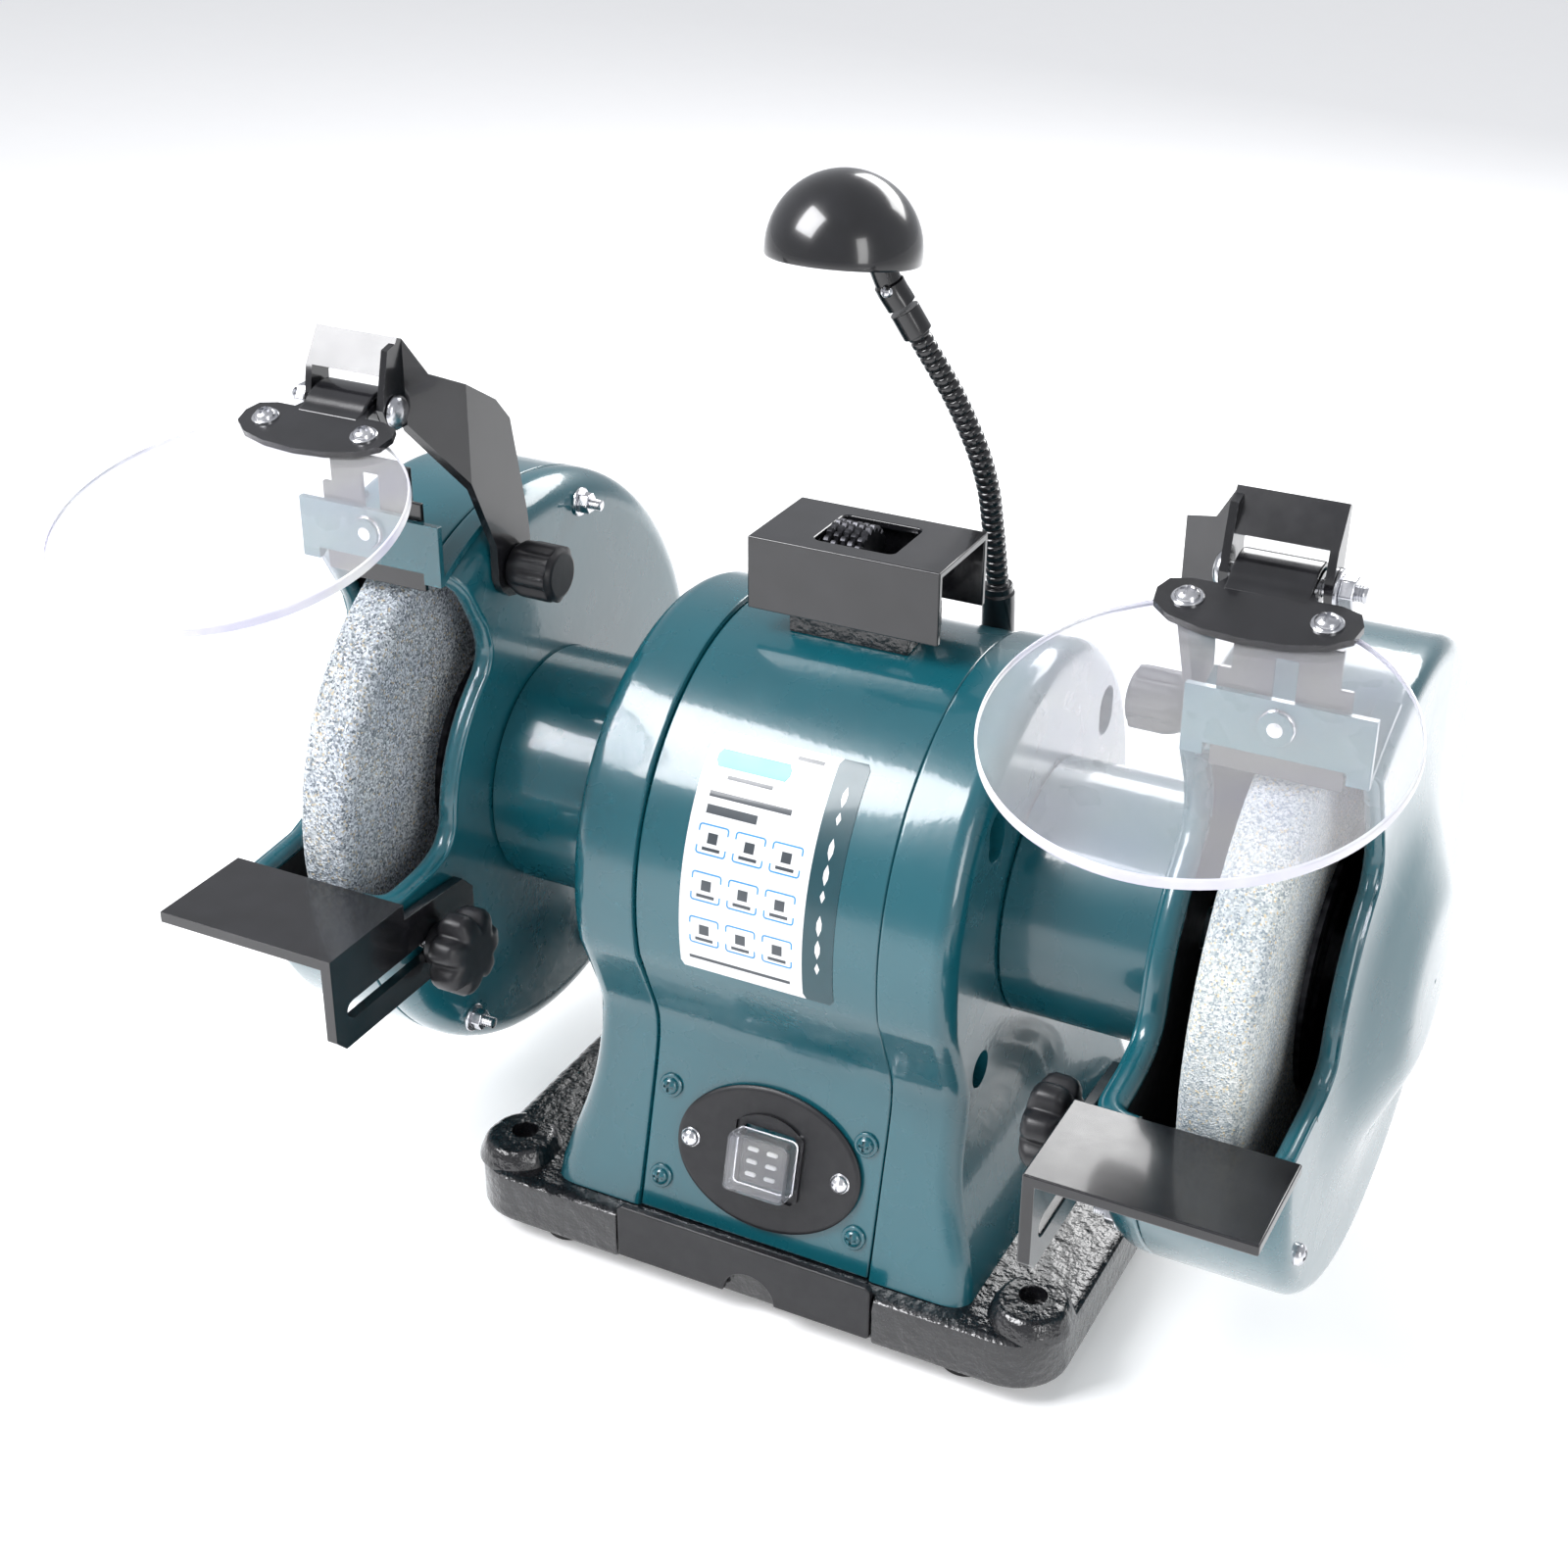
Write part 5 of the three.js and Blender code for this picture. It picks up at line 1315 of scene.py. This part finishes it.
def lamp_head():
    r = shade_hi.x - SHADE_AT.x
    outer = [(max(0.02, r * math.cos(math.radians(a))), r * math.sin(math.radians(a)))
             for a in range(90, -1, -5)]
    inner = [(max(0.02, (r - 1.5) * math.cos(math.radians(a))),
              (r - 1.5) * math.sin(math.radians(a))) for a in range(0, 91, 6)]
    lip = [(r, -2.2), (r - 0.4, -2.9), (r - 1.1, -2.9), (r - 1.5, -2.2)]
    shade_turned("shade_dome", outer + lip + inner, GLOSS, "gloss_black", "lamp_shade")
    bulb = [(0.02, 1.5)] + [(7 * math.cos(math.radians(a)), 7 + 6.6 * math.sin(math.radians(a)))
                            for a in range(-60, 61, 10)] + [(4.5, 14.2), (4.5, 18), (0.02, 18)]
    shade_turned("shade_bulb", bulb, REFLECTOR, "lamp_white", "lamp_bulb", (-8, -4, 0))
    end = Vector((NECK[-1][0], NECK[-1][1], AXIS_Z + NECK[-1][2]))
    way = Vector((-0.452, -0.230, 0.862))
    start = end + way * 2
    curve = spline([start, start + way * 9, SHADE_AT + Vector((7, 4, 6)), SHADE_AT + Vector((1, 1, 14))],
                   16)
    stem = swept("shade_stem", curve, lambda s: 4.6 if s > 9 else 5.2, SATIN, 32, 30)
    place(stem, "lamp_head", "satin_black", "lamp_stem")
    at = start + way * 5 + Vector((0, -5.0, 1.2))
    pan_screw("shade_screw", at, (-0.2, -0.95, 0.25), 2.0, "lamp_head", "bright_steel", ZINC)


# ---- stage -----------------------------------------------------------------------------------
WORLD_LIGHT = 0.55
FLOOR_GLOW = 0.22
CAMERA_AZIMUTH = math.radians(26.82)
CAMERA_HEIGHT = math.radians(28.08)
CAMERA_ROLL = math.radians(0.385)
CAMERA_DISTANCE = 865.9
CAMERA_LENS = 54.97
CAMERA_SHIFT = (-27.225, 41.828)
LOOK_AT = Vector((0, 0, 124))


def camera():
    """Camera that looks down on the grinder from the right-hand side of the user."""
    a, e = CAMERA_AZIMUTH, CAMERA_HEIGHT
    back = Vector((math.sin(a) * math.cos(e), -math.cos(a) * math.cos(e), math.sin(e)))
    right = Vector((math.cos(a), math.sin(a), 0))
    up = back.cross(right)
    c, s = math.cos(CAMERA_ROLL), math.sin(CAMERA_ROLL)
    right, up = right * c + up * s, up * c - right * s
    at = LOOK_AT + right * CAMERA_SHIFT[0] + up * CAMERA_SHIFT[1] + back * CAMERA_DISTANCE
    data = bpy.data.cameras.new("main_camera")
    data.lens = CAMERA_LENS
    data.sensor_width = 36
    data.clip_start = 0.02
    obj = bpy.data.objects.new("main_camera", data)
    obj.matrix_world = Matrix.Translation(at * MM) @ Matrix((right, up, back)).transposed().to_4x4()
    bpy.context.scene.collection.objects.link(obj)
    bpy.context.scene.camera = obj


def area_light(name, at, aim, size, power, colour=(1, 1, 1)):
    data = bpy.data.lights.new(name, "AREA")
    data.shape = "RECTANGLE"
    data.size, data.size_y = size
    data.energy = power
    data.color = colour
    obj = bpy.data.objects.new(name, data)
    obj.location = at
    obj.rotation_euler = (Vector(aim) - Vector(at)).to_track_quat("-Z", "Y").to_euler()
    bpy.context.scene.collection.objects.link(obj)


def studio():
    """Pale seamless floor, bright surroundings, and soft lights from both sides and behind."""
    bm = bmesh.new()
    bmesh.ops.create_grid(bm, x_segments=2, y_segments=2, size=6)
    floor = finish_bmesh(bm, "studio_floor", floor_paper())
    world = bpy.data.worlds.new("studio")
    world.use_nodes = True
    world.node_tree.nodes["Background"].inputs["Color"].default_value = (0.93, 0.95, 1, 1)
    world.node_tree.nodes["Background"].inputs["Strength"].default_value = WORLD_LIGHT
    bpy.context.scene.world = world
    area_light("key_light", (-0.75, -0.75, 1.25), (0, 0, 0.15), (0.8, 0.8), 30, (0.98, 0.98, 1))
    area_light("fill_light", (1.2, -0.9, 0.7), (0, 0, 0.15), (0.4, 0.9), 6)
    area_light("back_light", (0.2, 1.2, 1.0), (0, 0, 0.2), (1.2, 0.5), 15)
    bpy.context.scene.view_settings.view_transform = "Standard"


def floor_paper():
    mat = new_material("floor_paper", (0.92, 0.92, 0.92), 0.9)
    tone = ramp(mat, noise(mat, 30, 4), (0.915, 0.915, 0.915), (0.925, 0.925, 0.925))
    shader = mat.node_tree.nodes["Principled BSDF"]
    shader.inputs["Emission Color"].default_value = (1, 1, 1, 1)
    shader.inputs["Emission Strength"].default_value = FLOOR_GLOW
    return wire(mat, Base_Color=tone)


# ---- assembly --------------------------------------------------------------------------------
def hidden_motor():
    """The windings and bearings keep the frame's own shape; only their finish changes."""
    for node, material in (("stator_core", DARK_STEEL), ("stator_winding", COPPER),
                           ("rotor_core", DARK_STEEL), ("left_bearing", ZINC),
                           ("right_bearing", ZINC), ("spindle_shaft", ZINC)):
        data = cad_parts[node].data
        data.materials.clear()
        data.materials.append(material)


def build_side(side_name):
    end_bell(side_name)
    spindle_tube(side_name)
    guard_casting(side_name)
    guard_cover(side_name)
    guard_fasteners(side_name)
    wheel(side_name, COARSE if side_name == "left" else FINE)
    wheel_flanges(side_name)
    spindle_nut(side_name)
    refined(side_name + "_tool_rest", SATIN, side_name + "_rest", "satin_black", 0.6)
    rest_knob(side_name)
    refined(side_name + "_spark_bridge", TEAL, "frame", "teal_paint", 0.5)
    spark_bolt(side_name)
    refined(side_name + "_spark_arrestor", SATIN, side_name + "_spark_guard", "satin_black", 0.35)
    refined(side_name + "_shield_arm", SATIN, side_name + "_shield_mount", "satin_black", 1.1, 4)
    arm_knob(side_name)
    hinge_hardware(side_name)
    refined(side_name + "_shield_clamp", SATIN, side_name + "_shield", "satin_black", 0.4)
    clamp_saddle(side_name)
    eye_shield(side_name)
    shield_screws(side_name)


def build():
    base_casting()
    rubber_feet()
    base_cover()
    refined("cord_inlet", PLASTIC, "frame", "black_plastic", 0.4)
    stator_housing()
    hidden_motor()
    for side_name in SIDES:
        build_side(side_name)
    label()
    switch_plate()
    switch_rocker()
    switch_hood()
    front_screws()
    refined("dresser_block", CAST, "frame", "cast_black", 0.8)
    refined("dresser_bracket", SATIN, "frame", "satin_black", 0.5)
    dresser_wheels()
    refined("dresser_pin", ZINC, "frame", "bright_steel", 0.4)
    lamp_neck()
    lamp_head()


build()
studio()
camera()
